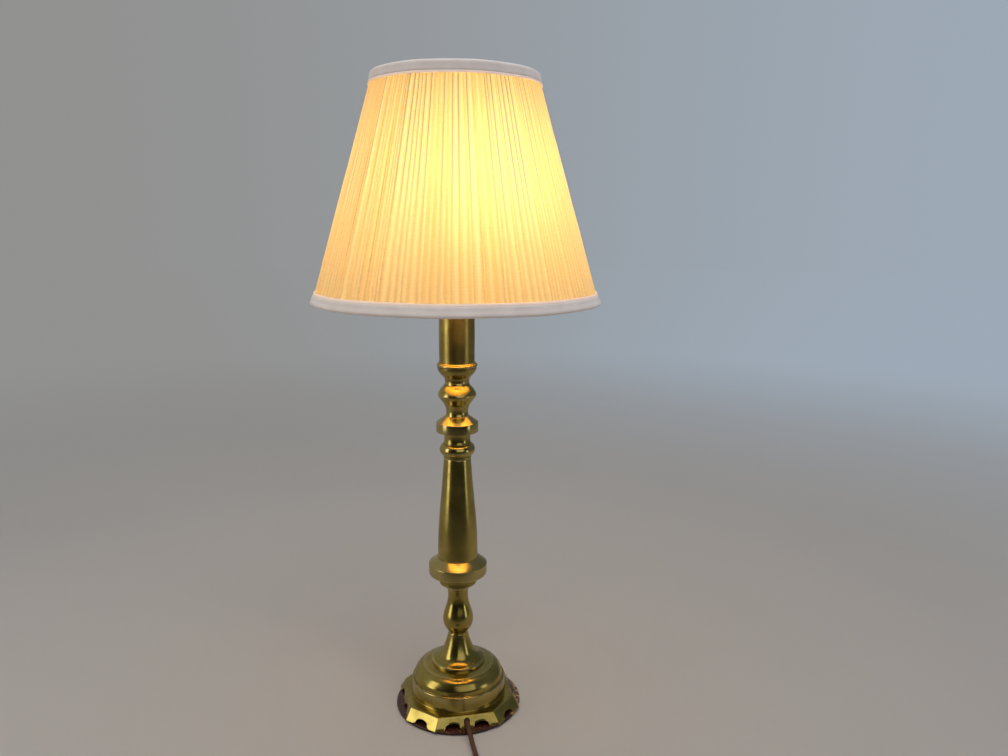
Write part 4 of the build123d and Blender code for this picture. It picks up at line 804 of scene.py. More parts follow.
@dataclass(frozen=True)
class StudioPaper(Finish):
    """Pale paper of the floor that runs out into the backdrop's tone.

    Brass mirrors it darker in front of the lamp and on the right.
    """

    name: str = "floor_paper"
    left_tone: Triple = (0.285, 0.285, 0.28)
    right_tone: Triple = (0.34, 0.40, 0.47)
    floor_tone: Triple = (0.33, 0.306, 0.285)
    mirrored: Triple = (0.02, 0.02, 0.018)

    def shader(self, sheet: Sheet) -> Link:
        """Paper near the lamp, and an even glow of the backdrop's tone further out."""
        place = sheet.placed()
        rays = sheet.add("LightPath").outputs
        back = sheet.part(place, 1)
        tone = sheet.blend(sheet.noise(place, 3.0, 4.0), self.floor_tone,
                           tuple(0.94 * value for value in self.floor_tone))
        dark = sheet.times(sheet.ranged(back, -0.7, 0.05, 0.92, 0.25), rays["Is Glossy Ray"])
        paper = sheet.skin(Base_Color=sheet.blend(dark, tone, self.mirrored), Roughness=0.9,
                           Normal=sheet.bump(sheet.noise(place, 900.0), 0.0001))
        out = sheet.add("VectorMath", {"operation": "NORMALIZE"}, in0=place).outputs[0]
        across = sheet.ranged(sheet.part(out, 0), -0.5, 0.6)
        lit = sheet.ranged(back, -1.6, 0.5, 0.08, 0.95)
        lit = sheet.maths("MAXIMUM", rays["Is Camera Ray"], lit)
        less = sheet.times(sheet.times(across, 0.7), rays["Is Glossy Ray"])
        far = sheet.add("Emission", Color=sheet.blend(across, self.left_tone, self.right_tone),
                        Strength=sheet.times(lit, sheet.maths("SUBTRACT", 1.0, less))).outputs[0]
        reach = sheet.add("VectorMath", {"operation": "LENGTH"}, in0=place).outputs[1]
        return sheet.mixed(sheet.ranged(reach, 0.6, 2.8), paper, far)


class Finishes:
    """Every finish of the lamp, by its slot."""

    def __init__(self) -> None:
        """Builds the materials."""
        finishes = (
            Brass(), Enamel(), LitGlass(), Backing(), PleatedCloth(), TrimCloth(), Flex(),
            Brass("harp_brass", (0.68, 0.54, 0.24), (0.56, 0.42, 0.16), turned=False),
            Brass("socket_brass", (0.78, 0.62, 0.28), (0.68, 0.50, 0.20), roughness=0.16,
                  turned=False),
            Plain("plated_steel", (0.62, 0.61, 0.57), (0.46, 0.45, 0.42), 1.0, 0.3, 0.00001),
            Plain("bulb_metal", (0.80, 0.80, 0.80), (0.66, 0.66, 0.67), 1.0, 0.22, 0.00001),
            Plain("sleeve_paper", (0.20, 0.15, 0.10), (0.13, 0.10, 0.07), 0.0, 0.85, 0.00006),
            Plain("black_plastic", (0.022, 0.02, 0.019), (0.012, 0.011, 0.011), roughness=0.32),
            Plain("plug_brown", (0.085, 0.034, 0.02), (0.05, 0.02, 0.013), roughness=0.42),
        )
        self.by_slot = {finish.name: finish.material() for finish in finishes}

    def paint(self, piece: Piece, slot: str) -> None:
        """Gives a piece the finish of a slot and no other."""
        piece.data.materials.clear()
        piece.data.materials.append(self.by_slot[slot])

    def dress_nodes(self) -> None:
        """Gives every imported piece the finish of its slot."""
        slots = {row["node"]: row["material_slot"] for row in frame["record"]["subparts"]}
        for name, piece in frame["nodes"].items():
            if piece.type == "MESH":
                self.paint(piece, slots[name])

    def dress(self, piece: Piece, slot: str, body: Body, *nodes: str) -> None:
        """Finishes a piece, puts it on its body and lets it stand for packed ones.

        Args:
            piece: The piece.
            slot: The slot of its finish.
            body: The body that it rides on.
            *nodes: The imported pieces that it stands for.
        """
        self.paint(piece, slot)
        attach(piece, body.value)
        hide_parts(*nodes)
        LOG.info("%s: %s on %s", piece.name, slot, body.value)


# --- foot ---
@dataclass
class Foot:
    """The enamelled disc, the scalloped plate and the dome. Sizes in millimetres and degrees."""

    disc_radius: float = 71.4
    disc_height: float = 3.1
    turn: float = 11.8
    height: float = 12.5
    wide_bottom: float = 64.6
    side_bottom: float = 35.8
    wide_top: float = 58.2
    side_top: float = 30.9
    wall: float = 2.8
    corner: float = 0.7
    arch_width: float = 23.0
    arch_height: float = 6.0
    toe: float = 3.8
    arch_offset: float = 16.3
    hole_radius: float = 3.4
    hole_height: float = 6.9
    seat_radius: float = 48.95

    def arch(self, across: np.ndarray) -> np.ndarray:
        """Height of a scalloped arch over the plate's lower edge.

        Out to the shoulder it is the circle through its crown and shoulders, from there to its end
        the quarter circle of a toe, and beyond that nothing.

        Args:
            across: Distances from the arch's middle, in millimetres.

        Returns:
            The height at each distance, in millimetres.
        """
        half = self.arch_width / 2
        shoulder = half - self.toe
        rise = self.arch_height - self.toe
        big = (shoulder**2 + rise**2) / (2 * rise)
        off = np.abs(across)
        crown = self.arch_height - big + np.sqrt(np.maximum(big**2 - off**2, 0.0))
        foot = self.toe - np.sqrt(np.maximum(self.toe**2 - (half - off) ** 2, 0.0))
        return np.where(off < shoulder, crown, np.where(off < half, foot, 0.0))

    def stations(self) -> tuple[np.ndarray, ...]:
        """Places round the plate: two arches on a wide face, one on a narrow one, and the bends.

        Returns:
            For each place the way its face looks, the turn of its normal, its share from one end
            of its face to the other, and the arch's height there.
        """
        half = self.arch_width / 2
        shoulder = half - self.toe
        fine = np.concatenate([
            np.linspace(-half, -shoulder, 10)[:-1], np.linspace(-shoulder, shoulder, 17),
            np.linspace(shoulder, half, 10)[1:],
        ])
        wide = np.concatenate([[-35.0, -31.0], fine - self.arch_offset, np.linspace(-4.0, 4.0, 9),
                               fine + self.arch_offset, [31.0, 35.0]])
        narrow = np.concatenate([[-20.0, -15.0], fine, [15.0, 20.0]])
        arches = self.arch(wide + self.arch_offset) + self.arch(wide - self.arch_offset)
        wide_side = self.side_bottom + (self.side_top - self.side_bottom) * arches / self.height
        half_narrow = (self.wide_bottom - self.side_bottom) / math.sqrt(2)
        bend = np.linspace(0.0, 45.0, 5)
        faces = (
            (0.0, 0.0, np.clip(wide / wide_side, -1.0, 1.0), arches),
            (0.0, bend, 1.0, 0.0),
            (45.0, 0.0, np.clip(narrow / half_narrow, -1.0, 1.0), self.arch(narrow)),
            (45.0, bend, 1.0, 0.0),
        )
        rows = [np.broadcast_arrays(base + face, base + face + turn, share, height)
                for base in (0.0, 90.0, 180.0, 270.0) for face, turn, share, height in faces]
        return tuple(np.concatenate(parts) for parts in zip(*rows))

    def outline(self, inset: float, height: np.ndarray) -> np.ndarray:
        """The plate's outline, moved in by an inset.

        The outline is a polygon moved in by the corner's radius, or by the inset if that is more,
        and then moved out along each place's normal by what is left of the radius.

        Args:
            inset: How far the outline is moved in, in millimetres.
            height: The height of each place over the plate's lower edge, in millimetres.

        Returns:
            Each place's two level coordinates, in millimetres.
        """
        face, angle, share, _ = self.stations()
        rise = height / self.height
        move = max(self.corner, inset)
        wide = self.wide_bottom + (self.wide_top - self.wide_bottom) * rise - move
        side = self.side_bottom + (self.side_top - self.side_bottom) * rise
        side = side - move * math.tan(math.radians(22.5))
        is_wide = face % 90.0 == 0.0
        distance = np.where(is_wide, wide, (wide + side) / math.sqrt(2))
        across = share * np.where(is_wide, side, (wide - side) / math.sqrt(2))
        way, normal = np.radians(face + self.turn), np.radians(angle + self.turn)
        left = max(self.corner - inset, 0.0)
        return np.stack([
            distance * np.cos(way) - across * np.sin(way) + left * np.cos(normal),
            distance * np.sin(way) + across * np.cos(way) + left * np.sin(normal),
        ], axis=1)

    def plate(self) -> Piece:
        """The plate: its section carried round the outline.

        The section runs up the outer face from the arch's edge, round the rim, level in to the
        seat's circle, down, back out under the top, and down the inner face to the arch's edge.

        Returns:
            The new object.
        """
        arch, top = self.stations()[3], self.height
        rows: list[np.ndarray] = []

        def ring(inset: float, height: np.ndarray | float, inwards: float = 0.0) -> None:
            """Adds a row at an inset and a height, moved in to the seat's circle by a share."""
            level = np.broadcast_to(height, arch.shape)
            flat = self.outline(inset, level)
            radius = np.linalg.norm(flat, axis=1, keepdims=True)
            flat = flat * (1 - inwards) + flat / radius * self.seat_radius * inwards
            rows.append(np.concatenate([flat, level[:, None] + self.disc_height], axis=1))

        ring(0.4, arch)
        ring(0.12, arch + 0.12)
        for share in (0.0, 0.25, 0.5, 0.75, 1.0):
            ring(0.0, arch + 0.4 + (top - 1.0 - arch) * share)
        ring(0.2, top - 0.18)
        ring(0.6, top)
        for share in (0.3, 0.6, 1.0):
            ring(0.6, top, share)
        ring(0.6, top - self.wall, 1.0)
        ring(self.wall, top - self.wall, 0.5)
        ring(self.wall, top - self.wall)
        ring(self.wall, arch + 0.5 * (top - self.wall - arch))
        ring(self.wall, arch)
        return surface("foot_plate_cast", np.array(rows) * MM, along=True, sharp=25.0)

    def bore_lead_hole(self, plate: Piece) -> None:
        """Bores the round hole of the lead square to the front face."""
        way = math.radians(self.turn - 90.0)
        ends = np.array([40.0, 75.0])[:, None] * np.array([math.cos(way), math.sin(way), 0.0])
        ends[:, 2] = self.disc_height + self.hole_height
        bore(plate, ends, self.hole_radius, 25.0)

    def dome(self) -> Piece:
        """The dome: skirt, groove, shoulder and stepped top over a hollow.

        Returns:
            The new object.
        """
        shoulder = through([(50.95, 34.6), (50.4, 38.0), (47.5, 43.3), (44.6, 46.3), (41.2, 48.0)],
                           24)
        inside = [(radius - 2.2, height - 1.6) for radius, height in reversed(shoulder)]
        return turned("foot_dome_spun", [
            (54.3, 15.6), (54.3, 16.9), (54.0, 17.3), (53.2, 32.0), (52.8, 32.7), (51.4, 33.0),
            (51.0, 33.7), *shoulder, (40.4, 48.8), (34.0, 50.25), (30.8, 51.0), (26.0, 51.0),
            (26.0, 47.0), (34.0, 47.0), *inside, (51.0, 28.0), (52.0, 15.6)], corner=0.35)

    def build(self, finishes: Finishes) -> None:
        """Makes and finishes the foot's pieces.

        Args:
            finishes: The lamp's finishes.
        """
        rim, top = self.disc_radius, self.disc_height
        disc = turned("base_disc_enamel", [
            (0.0, 0.0), (rim - 0.8, 0.0), (rim - 0.2, 0.35), (rim, 1.0), (rim, top - 1.0),
            (rim - 0.3, top - 0.3), (rim - 1.0, top), (0.0, top)], 192, closed=False)
        finishes.dress(disc, "brown_metal", Body.LAMP, "base_disc")
        plate = self.plate()
        self.bore_lead_hole(plate)
        finishes.dress(plate, "aged_brass", Body.LAMP, "foot_plate")
        finishes.dress(self.dome(), "aged_brass", Body.LAMP, "foot_dome")


# --- stem ---
@dataclass
class Stem:
    """The turned pieces from the pedestal to the neck tube. Heights from the floor, millimetres."""

    bore: float = 5.25
    lower_collar: float = 140.0
    upper_collar: float = 321.0
    tube: float = 392.6
    tube_top: float = 460.0
    tube_bore: float = 17.75
    tube_radius: float = 19.15

    def bored(self, name: str, outline: Profile) -> Piece:
        """A turning with the rod's bore down its middle; the outline runs up its outside."""
        return turned(name, [(self.bore, outline[0][1]), *outline, (self.bore, outline[-1][1])])

    def outlines(self) -> dict[str, tuple[str, Profile]]:
        """The outside of each turned piece, bottom first, by node, with the piece's name.

        Returns:
            Each piece's name and outline, in millimetres, by node.
        """
        low, high = self.lower_collar, self.upper_collar
        return {
            "pedestal": ("pedestal_turning", [
                (30.8, 51.0), (30.8, 54.4), (29.8, 55.1),
                *through([(26.6, 56.0), (22.4, 58.8), (18.6, 63.8), (15.9, 69.8), (13.6, 76.6),
                          (12.1, 82.0), (11.2, 86.1)], 40),
                (10.7, 86.6)]),
            "baluster": ("baluster_turning", through([
                (11.0, 86.6), (11.5, 88.6), (13.6, 91.6), (16.0, 96.0), (17.25, 102.6), (15.0, 114.0),
                (12.2, 123.5), (11.35, 132.0), (12.0, 140.0)], 64)),
            "lower_collar": ("lower_collar_turning", [
                *arc((12.6, low), (14.2, low + 3.1), (12.6, low + 6.2)),
                (19.9, low + 6.2), (20.9, low + 7.2),
                *arc((20.9, low + 7.3), (20.4, low + 12.0), (20.9, low + 17.6)),
                (20.9, low + 17.8), (30.4, low + 17.8), (31.9, low + 18.4), (32.65, low + 20.0),
                (32.65, low + 30.4), (32.1, low + 31.0), (22.9, low + 37.8)]),
            "tapered_column": ("tapered_column_turning", through([
                (22.3, 177.8), (22.2, 190.0), (21.8, 205.0), (19.3, 239.3), (16.7, 268.5),
                (14.9, 293.0)], 60)),
            "column_bead": ("column_bead_turning", [
                (15.2, 293.0), (15.2, 296.4),
                *arc((15.2, 296.5), (19.5, 303.2), (15.2, 309.9), 17),
                *arc((15.2, 310.0), (14.2, 315.4), (15.2, 320.9), 11), (15.2, 321.0)]),
            "upper_collar": ("upper_collar_turning", [
                (16.0, high), (16.0, high + 2.2), (23.0, high + 2.2), (23.0, high + 12.6),
                (13.0, high + 20.0)]),
            "knop": ("knop_turning", through([
                (12.6, 341.0), (11.9, 344.6), (12.2, 348.0), (13.4, 351.9), (15.7, 355.9),
                (18.8, 360.0), (20.9, 364.4), (19.9, 367.4), (18.3, 370.2), (16.2, 372.7),
                (14.0, 375.3), (13.2, 378.0)], 72)),
            "candle_cup": ("candle_cup_turning", [
                *through([(13.2, 378.0), (13.3, 380.4), (14.4, 383.3), (17.1, 386.4), (19.9, 389.9),
                          (21.1, 393.0), (21.3, 395.2)], 40),
                *arc((21.35, 395.4), (22.2, 396.9), (21.3, 398.5), 7),
                (20.7, 398.7), (20.4, 399.4), (20.0, 400.0), (19.35, 400.0), (19.35, 392.6)]),
        }

    def build(self, finishes: Finishes) -> None:
        """Makes and finishes the stem's pieces.

        Args:
            finishes: The lamp's finishes.
        """
        for node, (name, outline) in self.outlines().items():
            finishes.dress(self.bored(name, outline), "aged_brass", Body.LAMP, node)
        top, inner, outer = self.tube_top, self.tube_bore, self.tube_radius
        outside = through([(outer, 400.0), (outer + 0.15, 420.0), (outer + 0.2, 434.0),
                           (outer + 0.05, 448.0), (outer, top - 0.6)], 14)
        tube = turned("neck_tube_drawn", [
            (inner, self.tube), (outer, self.tube), *outside, (outer, top), (inner, top)],
            corner=0.2)
        mark(tube.data, "worn", np.ones(len(tube.data.vertices)))
        finishes.dress(tube, "aged_brass", Body.LAMP, "neck_tube")
        cap = turned("tube_cap_turning", [
            (self.bore, top - 3.0), (17.6, top - 3.0), (17.6, top), (19.65, top),
            (19.65, top + 1.5), (18.95, top + 2.2), (self.bore, top + 2.2)], corner=0.3)
        finishes.dress(cap, "aged_brass", Body.LAMP, "tube_cap")


# --- what the shade hides ---
@dataclass
class Harp:
    """The harp's wire, its threaded seat and the ferrules. Millimetres."""

    wire: float = 1.6
    leg: float = 29.4
    half_width: float = 57.5
    top_half: float = 26.0
    ear_top: float = 481.9
    flare_low: float = 505.9
    flare_high: float = 558.9
    shoulder: float = 623.9
    top: float = 672.2
    seat: float = 676.2
    stud: float = 3.175
    ferrule_off: float = 27.65

    def loop(self) -> Piece:
        """The wire's loop, from ear to ear over the bulb.

        Returns:
            The new object.
        """
        side = [(self.leg, 0.0, self.ear_top), (self.leg, 0.0, self.flare_low),
                (self.half_width, 0.0, self.flare_high), (self.half_width, 0.0, self.shoulder),
                (self.top_half, 0.0, self.top)]
        path = bent([(-x, y, z) for x, y, z in side] + side[::-1])
        return swept("harp_loop", path, circle(self.wire, 18), across=(0.0, 1.0, 0.0))

    def pin(self) -> Piece:
        """The seat of the shade and the stud over it, whose thread is drawn as rings.

        Returns:
            The new object.
        """
        seat = self.seat
        rings = [(self.stud - 0.25 * (k % 2), seat + 0.6 + 0.45 * k) for k in range(25)]
        return turned("harp_pin", [
            (0.0, seat - 4.0), (3.2, seat - 4.0), (3.2, seat - 2.4), (6.3, seat - 2.4),
            (6.5, seat - 2.2), (6.5, seat - 0.2), (6.3, seat), (self.stud, seat), *rings,
            (2.5, seat + 12.7), (0.0, seat + 12.7)], 48, closed=False)

    def ferrule(self, where: float) -> Piece:
        """A ferrule that holds a leg in its ear.

        Args:
            where: How far the leg stands from the middle, in millimetres.

        Returns:
            The new object.
        """
        low = self.ear_top
        ring = turned("harp_ring", [
            (3.5, low), (4.4, low), (4.5, low + 0.6), (4.4, low + 1.3), (4.2, low + 11.7),
            (3.9, low + 13.0), (3.5, low + 13.0)], 48, 0.2)
        ring.data.transform(Matrix.Translation((where * MM, 0.0, 0.0)))
        return ring

    def build(self, finishes: Finishes) -> None:
        """Makes and finishes the harp.

        Args:
            finishes: The lamp's finishes.
        """
        harp = join("harp_wire", self.loop(), self.pin())
        finishes.dress(harp, "harp_brass", Body.LAMP, "harp")
        rings = [self.ferrule(where) for where in (-self.ferrule_off, self.ferrule_off)]
        finishes.dress(join("harp_ferrule_pair", *rings), "harp_brass", Body.LAMP, "harp_ferrules")


@dataclass
class Socket:
    """The spun socket cap and shell, and the turn key. Millimetres."""

    base: float = 467.9
    cap_top: float = 484.9
    cap_radius: float = 17.4
    shell_low: float = 478.9
    shell_top: float = 520.9
    shell_radius: float = 16.4
    key_height: float = 487.9
    shaft_hole: float = 3.2

    def cap(self) -> Piece:
        """The cap: a cup with a bead near its rim.

        Returns:
            The new object.
        """
        low, rim = self.base, self.cap_radius
        cup = through([(8.6, low + 2.0), (12.5, low + 2.8), (15.6, low + 4.4), (17.1, low + 6.7),
                       (rim, low + 8.9)], 18)
        return turned("socket_cap_spun", [
            (5.0, low), (7.6, low), (7.6, low + 1.5), *cup, (rim, low + 14.3),
            (rim - 0.25, low + 14.7), (rim, low + 15.1), (rim, self.cap_top),
            (rim - 0.8, self.cap_top), (rim - 0.8, low + 9.6), (15.2, low + 5.7), (12.0, low + 4.0),
            (7.6, low + 3.4), (5.0, low + 3.4)], corner=0.3)

    def shell(self) -> Piece:
        """The shell: a tube with two grooves and a rolled rim, and a hole for the key's shaft.

        Returns:
            The new object.
        """
        low, rim, top = self.shell_low, self.shell_radius, self.shell_top
        shell = turned("socket_shell_spun", [
            (rim - 0.6, low), (rim, low), (rim, low + 19.1), (rim - 0.3, low + 19.6),
            (rim, low + 20.1), (rim, low + 33.6), (rim - 0.35, low + 34.2), (rim, low + 34.8),
            (rim, top - 1.5), (rim + 0.6, top - 1.1), (rim + 0.7, top - 0.6), (rim + 0.4, top),
            (rim - 0.6, top)], corner=0.25)
        shaft = np.array([[0.0, 10.0, self.key_height], [0.0, 24.0, self.key_height]])
        bore(shell, shaft, self.shaft_hole, 40.0)
        return shell

    def key(self) -> Piece:
        """The turn key: from a round collar to a flat paddle.

        Returns:
            The new object.
        """
        along = [19.0, 19.3, 20.0, 24.6, 25.4, 27.0, 30.0, 33.2, 34.6, 35.0]
        wide = [3.9, 4.4, 4.6, 4.5, 4.6, 5.4, 6.6, 7.4, 7.3, 6.6]
        thick = [3.9, 4.4, 4.6, 4.3, 3.2, 2.4, 2.2, 2.2, 2.0, 1.3]
        square = [2.0, 2.0, 2.0, 2.1, 2.4, 2.8, 3.0, 3.0, 2.8, 2.6]
        return moulded("turn_key", np.array([0.0, 0.0, self.key_height]), np.array([0.0, 1.0, 0.0]),
                       np.array([1.0, 0.0, 0.0]), np.array([along, wide, thick, square]), 64)

    def build(self, finishes: Finishes) -> None:
        """Makes and finishes the socket's outside and its key."""
        finishes.dress(self.cap(), "socket_brass", Body.LAMP, "socket_cap")
        finishes.dress(self.shell(), "socket_brass", Body.LAMP, "socket_shell")
        finishes.dress(self.key(), "black_plastic", Body.SWITCH, "switch_knob")


@dataclass
class Bulb:
    """The frosted bulb and its screw base. Millimetres."""

    radius: float = 30.0
    centre: float = 577.1
    base_low: float = 503.5
    base_high: float = 522.5
    base_radius: float = 13.0
    base_bore: float = 11.3
    pitch: float = 3.63
    thread: float = 0.9

    def glass(self) -> Piece:
        """The envelope: a ball on a neck that flares out of the base.

        Returns:
            The new object.
        """
        ball = [(self.radius * math.cos(turn), self.centre + self.radius * math.sin(turn))
                for turn in np.radians(np.linspace(-48.0, 90.0, 34))]
        neck = through([(self.base_bore, 519.0), (11.5, 524.0), (12.6, 533.0), (15.4, 543.0),
                        ball[0]], 20)
        return turned("bulb_envelope", [(0.0, 518.5), (10.8, 518.5), *neck[:-1], *ball[:-1],
                                        (0.0, ball[-1][1])], 96, closed=False)

    def base(self) -> Piece:
        """The screw base: a rounded thread that climbs one pitch each turn.

        The radius is the root plus the thread's depth times the square root of a raised cosine of
        height over pitch less the turn; it fades out near both ends.

        Returns:
            The new object.
        """
        height = np.linspace(self.base_low, self.base_high, 76)[:, None]
        angle = np.arange(72) * math.tau / 72
        wave = 0.5 + 0.5 * np.cos(math.tau * height / self.pitch - angle)
        fade = (np.clip((height - self.base_low) / 2.0, 0, 1)
                * np.clip((self.base_high - 2.5 - height) / 2.0, 0, 1))
        radius = self.base_radius - self.thread + self.thread * np.sqrt(wave) * fade
        low, high = (polar(self.base_bore, angle, np.full((1, 72), level))
                     for level in (self.base_low, self.base_high))
        grid = np.concatenate([low, polar(radius, angle, height), high])
        return surface("bulb_screw_base", grid * MM, along=True)

    def build(self, finishes: Finishes) -> None:
        """Makes and finishes the glass and the base."""
        finishes.dress(self.glass(), "bulb_glass", Body.LAMP, "bulb_glass")
        finishes.dress(self.base(), "bulb_metal", Body.LAMP, "bulb_base")


# --- shade ---
@dataclass
class Shade:
    """The pleated cloth, its backing and the two trims. Millimetres."""

    top: float = 696.9
    bottom: float = 464.4
    top_radius: float = 85.7
    bottom_radius: float = 152.8
    fold: float = 1.6
    trim_thickness: float = 1.3
    trim_inset: float = 8.8
    trim_height: float = 13.0
    turn_in: float = 9.0
    backing_face: float = 3.9
    backing_back: float = 4.7
    pleats: int = 144
    pleat_depth: float = 1.5
    gathering: float = 1.12
    cloth: float = 0.35
    samples: int = 10
    rows: int = 22
    seed: int = 7

    def radius(self, height: np.ndarray | float, inset: float = 0.0) -> np.ndarray | float:
        """The cone's radius at a height, moved in by an inset."""
        slope = (self.bottom_radius - self.top_radius) / (self.top - self.bottom)
        return self.top_radius + (self.top - height) * slope - inset

    def at(self, height: float, inset: float) -> Pair:
        """The place on the cone at a height, moved in by an inset."""
        return self.radius(height, inset), height

    def pleated(self) -> Piece:
        """The pleated cloth as a thin closed sheet.

        Each pleat takes a share of the circle that differs from its neighbours'. Within a pleat
        the radius climbs to a crest and drops over the rest, both as half cosines. The crest lies
        between 0.5 and 0.85 of the pleat's width; depth differs between pleats and wavers a little
        with height. The back of the cloth follows the front one thickness in.

        Returns:
            The new object.
        """
        draw = np.random.default_rng(self.seed)
        widths = draw.uniform(0.55, 1.6, self.pleats)
        edges = np.concatenate([[0.0], np.cumsum(widths)]) / widths.sum() * math.tau
        depth = draw.uniform(0.45, 1.0, self.pleats)[:, None]
        tone = draw.uniform(0.0, 1.0, self.pleats)
        crest = draw.uniform(0.5, 0.85, self.pleats)[:, None]
        phase = np.arange(self.samples) / self.samples
        angle = (edges[:-1, None] + np.diff(edges)[:, None] * phase).ravel()
        share = np.minimum(phase / crest, (1.0 - phase) / (1.0 - crest))
        climb = 0.5 - 0.5 * np.cos(math.pi * share)
        lift = (climb * depth).ravel()
        tones = np.repeat(tone, self.samples)
        height = np.linspace(self.bottom + self.fold, self.top - self.fold, self.rows)[:, None]
        waver = 1.0 + 0.16 * np.sin(height / 31.0 + 5.0 * tones)
        drift = 0.0016 * np.sin(height / 47.0 + 9.0 * np.repeat(depth, self.samples))
        inset = self.trim_thickness + 0.2 + self.pleat_depth
        front = self.radius(height, inset) + self.pleat_depth * np.clip(lift * waver, 0.0, 1.0)
        back = front - self.cloth
        grid = np.concatenate([polar(front, angle + drift, height),
                               polar(back, angle + drift, height)[::-1]])
        rows = 2 * self.rows
        length = np.concatenate([height, height[::-1]])
        flat = np.stack(np.broadcast_arrays(angle * self.bottom_radius, length), axis=2) * MM
        values = {"fold": np.tile(climb.ravel(), (rows, 1)), "tone": np.tile(tones, (rows, 1))}
        return surface("pleated_cloth", grid * MM, True, values, flat, 70.0)

    def backing(self) -> Piece:
        """The plastic cone that the cloth is mounted on; its inner wall is marked for its painted
        glow.

        Returns:
            The new object.
        """
        low, high = self.bottom + self.fold, self.top - self.fold
        face, back = self.backing_face, self.backing_back
        cone = turned("backing_cone", [self.at(low, back), self.at(low, face), self.at(high, face),
                                       self.at(high, back)], 144, 0.15)
        x, y, height = places_of(cone.data).T / MM
        inset = self.radius(height) - np.hypot(x, y)
        mark(cone.data, "inner", inset > (face + back) / 2)
        return cone

    def trim_outline(self, edge: float, side: int) -> Profile:
        """The section of a trim: it bows out a little between a stitched lip and the fold.

        Args:
            edge: The height of the shade's edge, in millimetres.
            side: 1 at the top and -1 at the bottom.

        Returns:
            The section's corners from the lip over the edge and back, in millimetres.
        """
        inner, thick = self.trim_inset, self.trim_thickness
        outer_end, inner_end = edge - side * self.trim_height, edge - side * self.turn_in
        lip, turn = outer_end + side * 2.6, edge - side * (self.fold - 0.2)
        bow = [self.at(lip + side * 2.4, 0.0), self.at((lip + turn) / 2, -0.15), self.at(turn, 0.0),
               self.at(edge, 2.4), self.at(edge, 6.2), self.at(turn, inner)]
        return soften([
            self.at(outer_end, thick), self.at(outer_end, 0.55), self.at(lip - side * 0.9, 0.35),
            self.at(lip, 0.75), self.at(lip + side * 0.8, 0.12), *through(bow, 30),
            self.at(inner_end, inner), self.at(inner_end, inner - thick),
            self.at(turn, inner - thick), self.at(turn, thick)], 0.3)

    def trim(self, name: str, edge: float, side: int, sides: int = 432) -> Piece:
        """A cloth band folded over an edge, whose faces waver by a tenth of a millimetre.

        The waver is a sum of sines of the turn round the shade and of the height.

        Args:
            name: The object's name.
            edge: The height of the shade's edge, in millimetres.
            side: 1 at the top and -1 at the bottom.
            sides: Faces round the shade.

        Returns:
            The new object.
        """
        line = np.array(self.trim_outline(edge, side))
        angle = np.arange(sides) * math.tau / sides
        wobble = (0.10 * np.sin(23 * angle + line[:, 1:] / 3.0) + 0.06 * np.sin(61 * angle)
                  + 0.04 * np.sin(137 * angle + 1.0))
        grid = polar(line[:, :1] + wobble, angle, line[:, 1:] + 0.12 * np.sin(9 * angle + 0.7))
        end = edge - side * self.trim_height
        # the lip places, where the trim's painted glow is strongest
        lips = ((np.abs(line[:, 1] - end) < 2.5)
                & (line[:, 0] > self.radius(end, self.trim_thickness) - 1.5))
        steps = np.linalg.norm(np.diff(line, axis=0, prepend=line[:1]), axis=1).cumsum()
        flat = np.stack(np.broadcast_arrays(angle * self.radius(edge), steps[:, None]), axis=2) * MM
        values = {"lip": np.repeat(lips[:, None], sides, axis=1)}
        return surface(name, grid * MM, True, values, flat, 60.0)

    def build(self, finishes: Finishes) -> None:
        """Args:
            finishes: The lamp's finishes.
        """
        cloth = self.pleated()
        finishes.dress(cloth, "shade_cloth", Body.SHADE, "shade_pleats")
        finishes.dress(self.backing(), "shade_backing", Body.SHADE, "shade_liner")
        top = self.trim("top_trim_band", self.top, 1)
        finishes.dress(top, "shade_trim", Body.SHADE, "shade_top_trim")
        bottom = self.trim("bottom_trim_band", self.bottom, -1)
        finishes.dress(bottom, "shade_trim", Body.SHADE, "shade_bottom_trim")


@dataclass
class Finial:
    """The brass finial. Millimetres."""

    foot: float = 678.4

    def build(self, finishes: Finishes) -> None:
        """Makes and finishes the finial.

        Args:
            finishes: The lamp's finishes.
        """
        neck = through([(6.3, 3.0), (5.2, 4.6), (4.9, 7.6)], 12)
        knob = through([(5.2, 8.2), (6.6, 11.4), (7.0, 15.0), (5.9, 19.6), (3.2, 23.6),
                        (2.0, 25.4)], 26)
        outline = [(0.0, 0.05), (7.2, 0.0), (7.4, 0.3), (7.4, 2.1), (7.1, 2.5), *neck, *knob,
                   (1.5, 26.4), (0.8, 26.9), (0.0, 27.0)]
        finial = turned("finial_turning", [(radius, self.foot + height)
                                           for radius, height in outline], 96, closed=False)
        finishes.dress(finial, "aged_brass", Body.FINIAL, "finial")


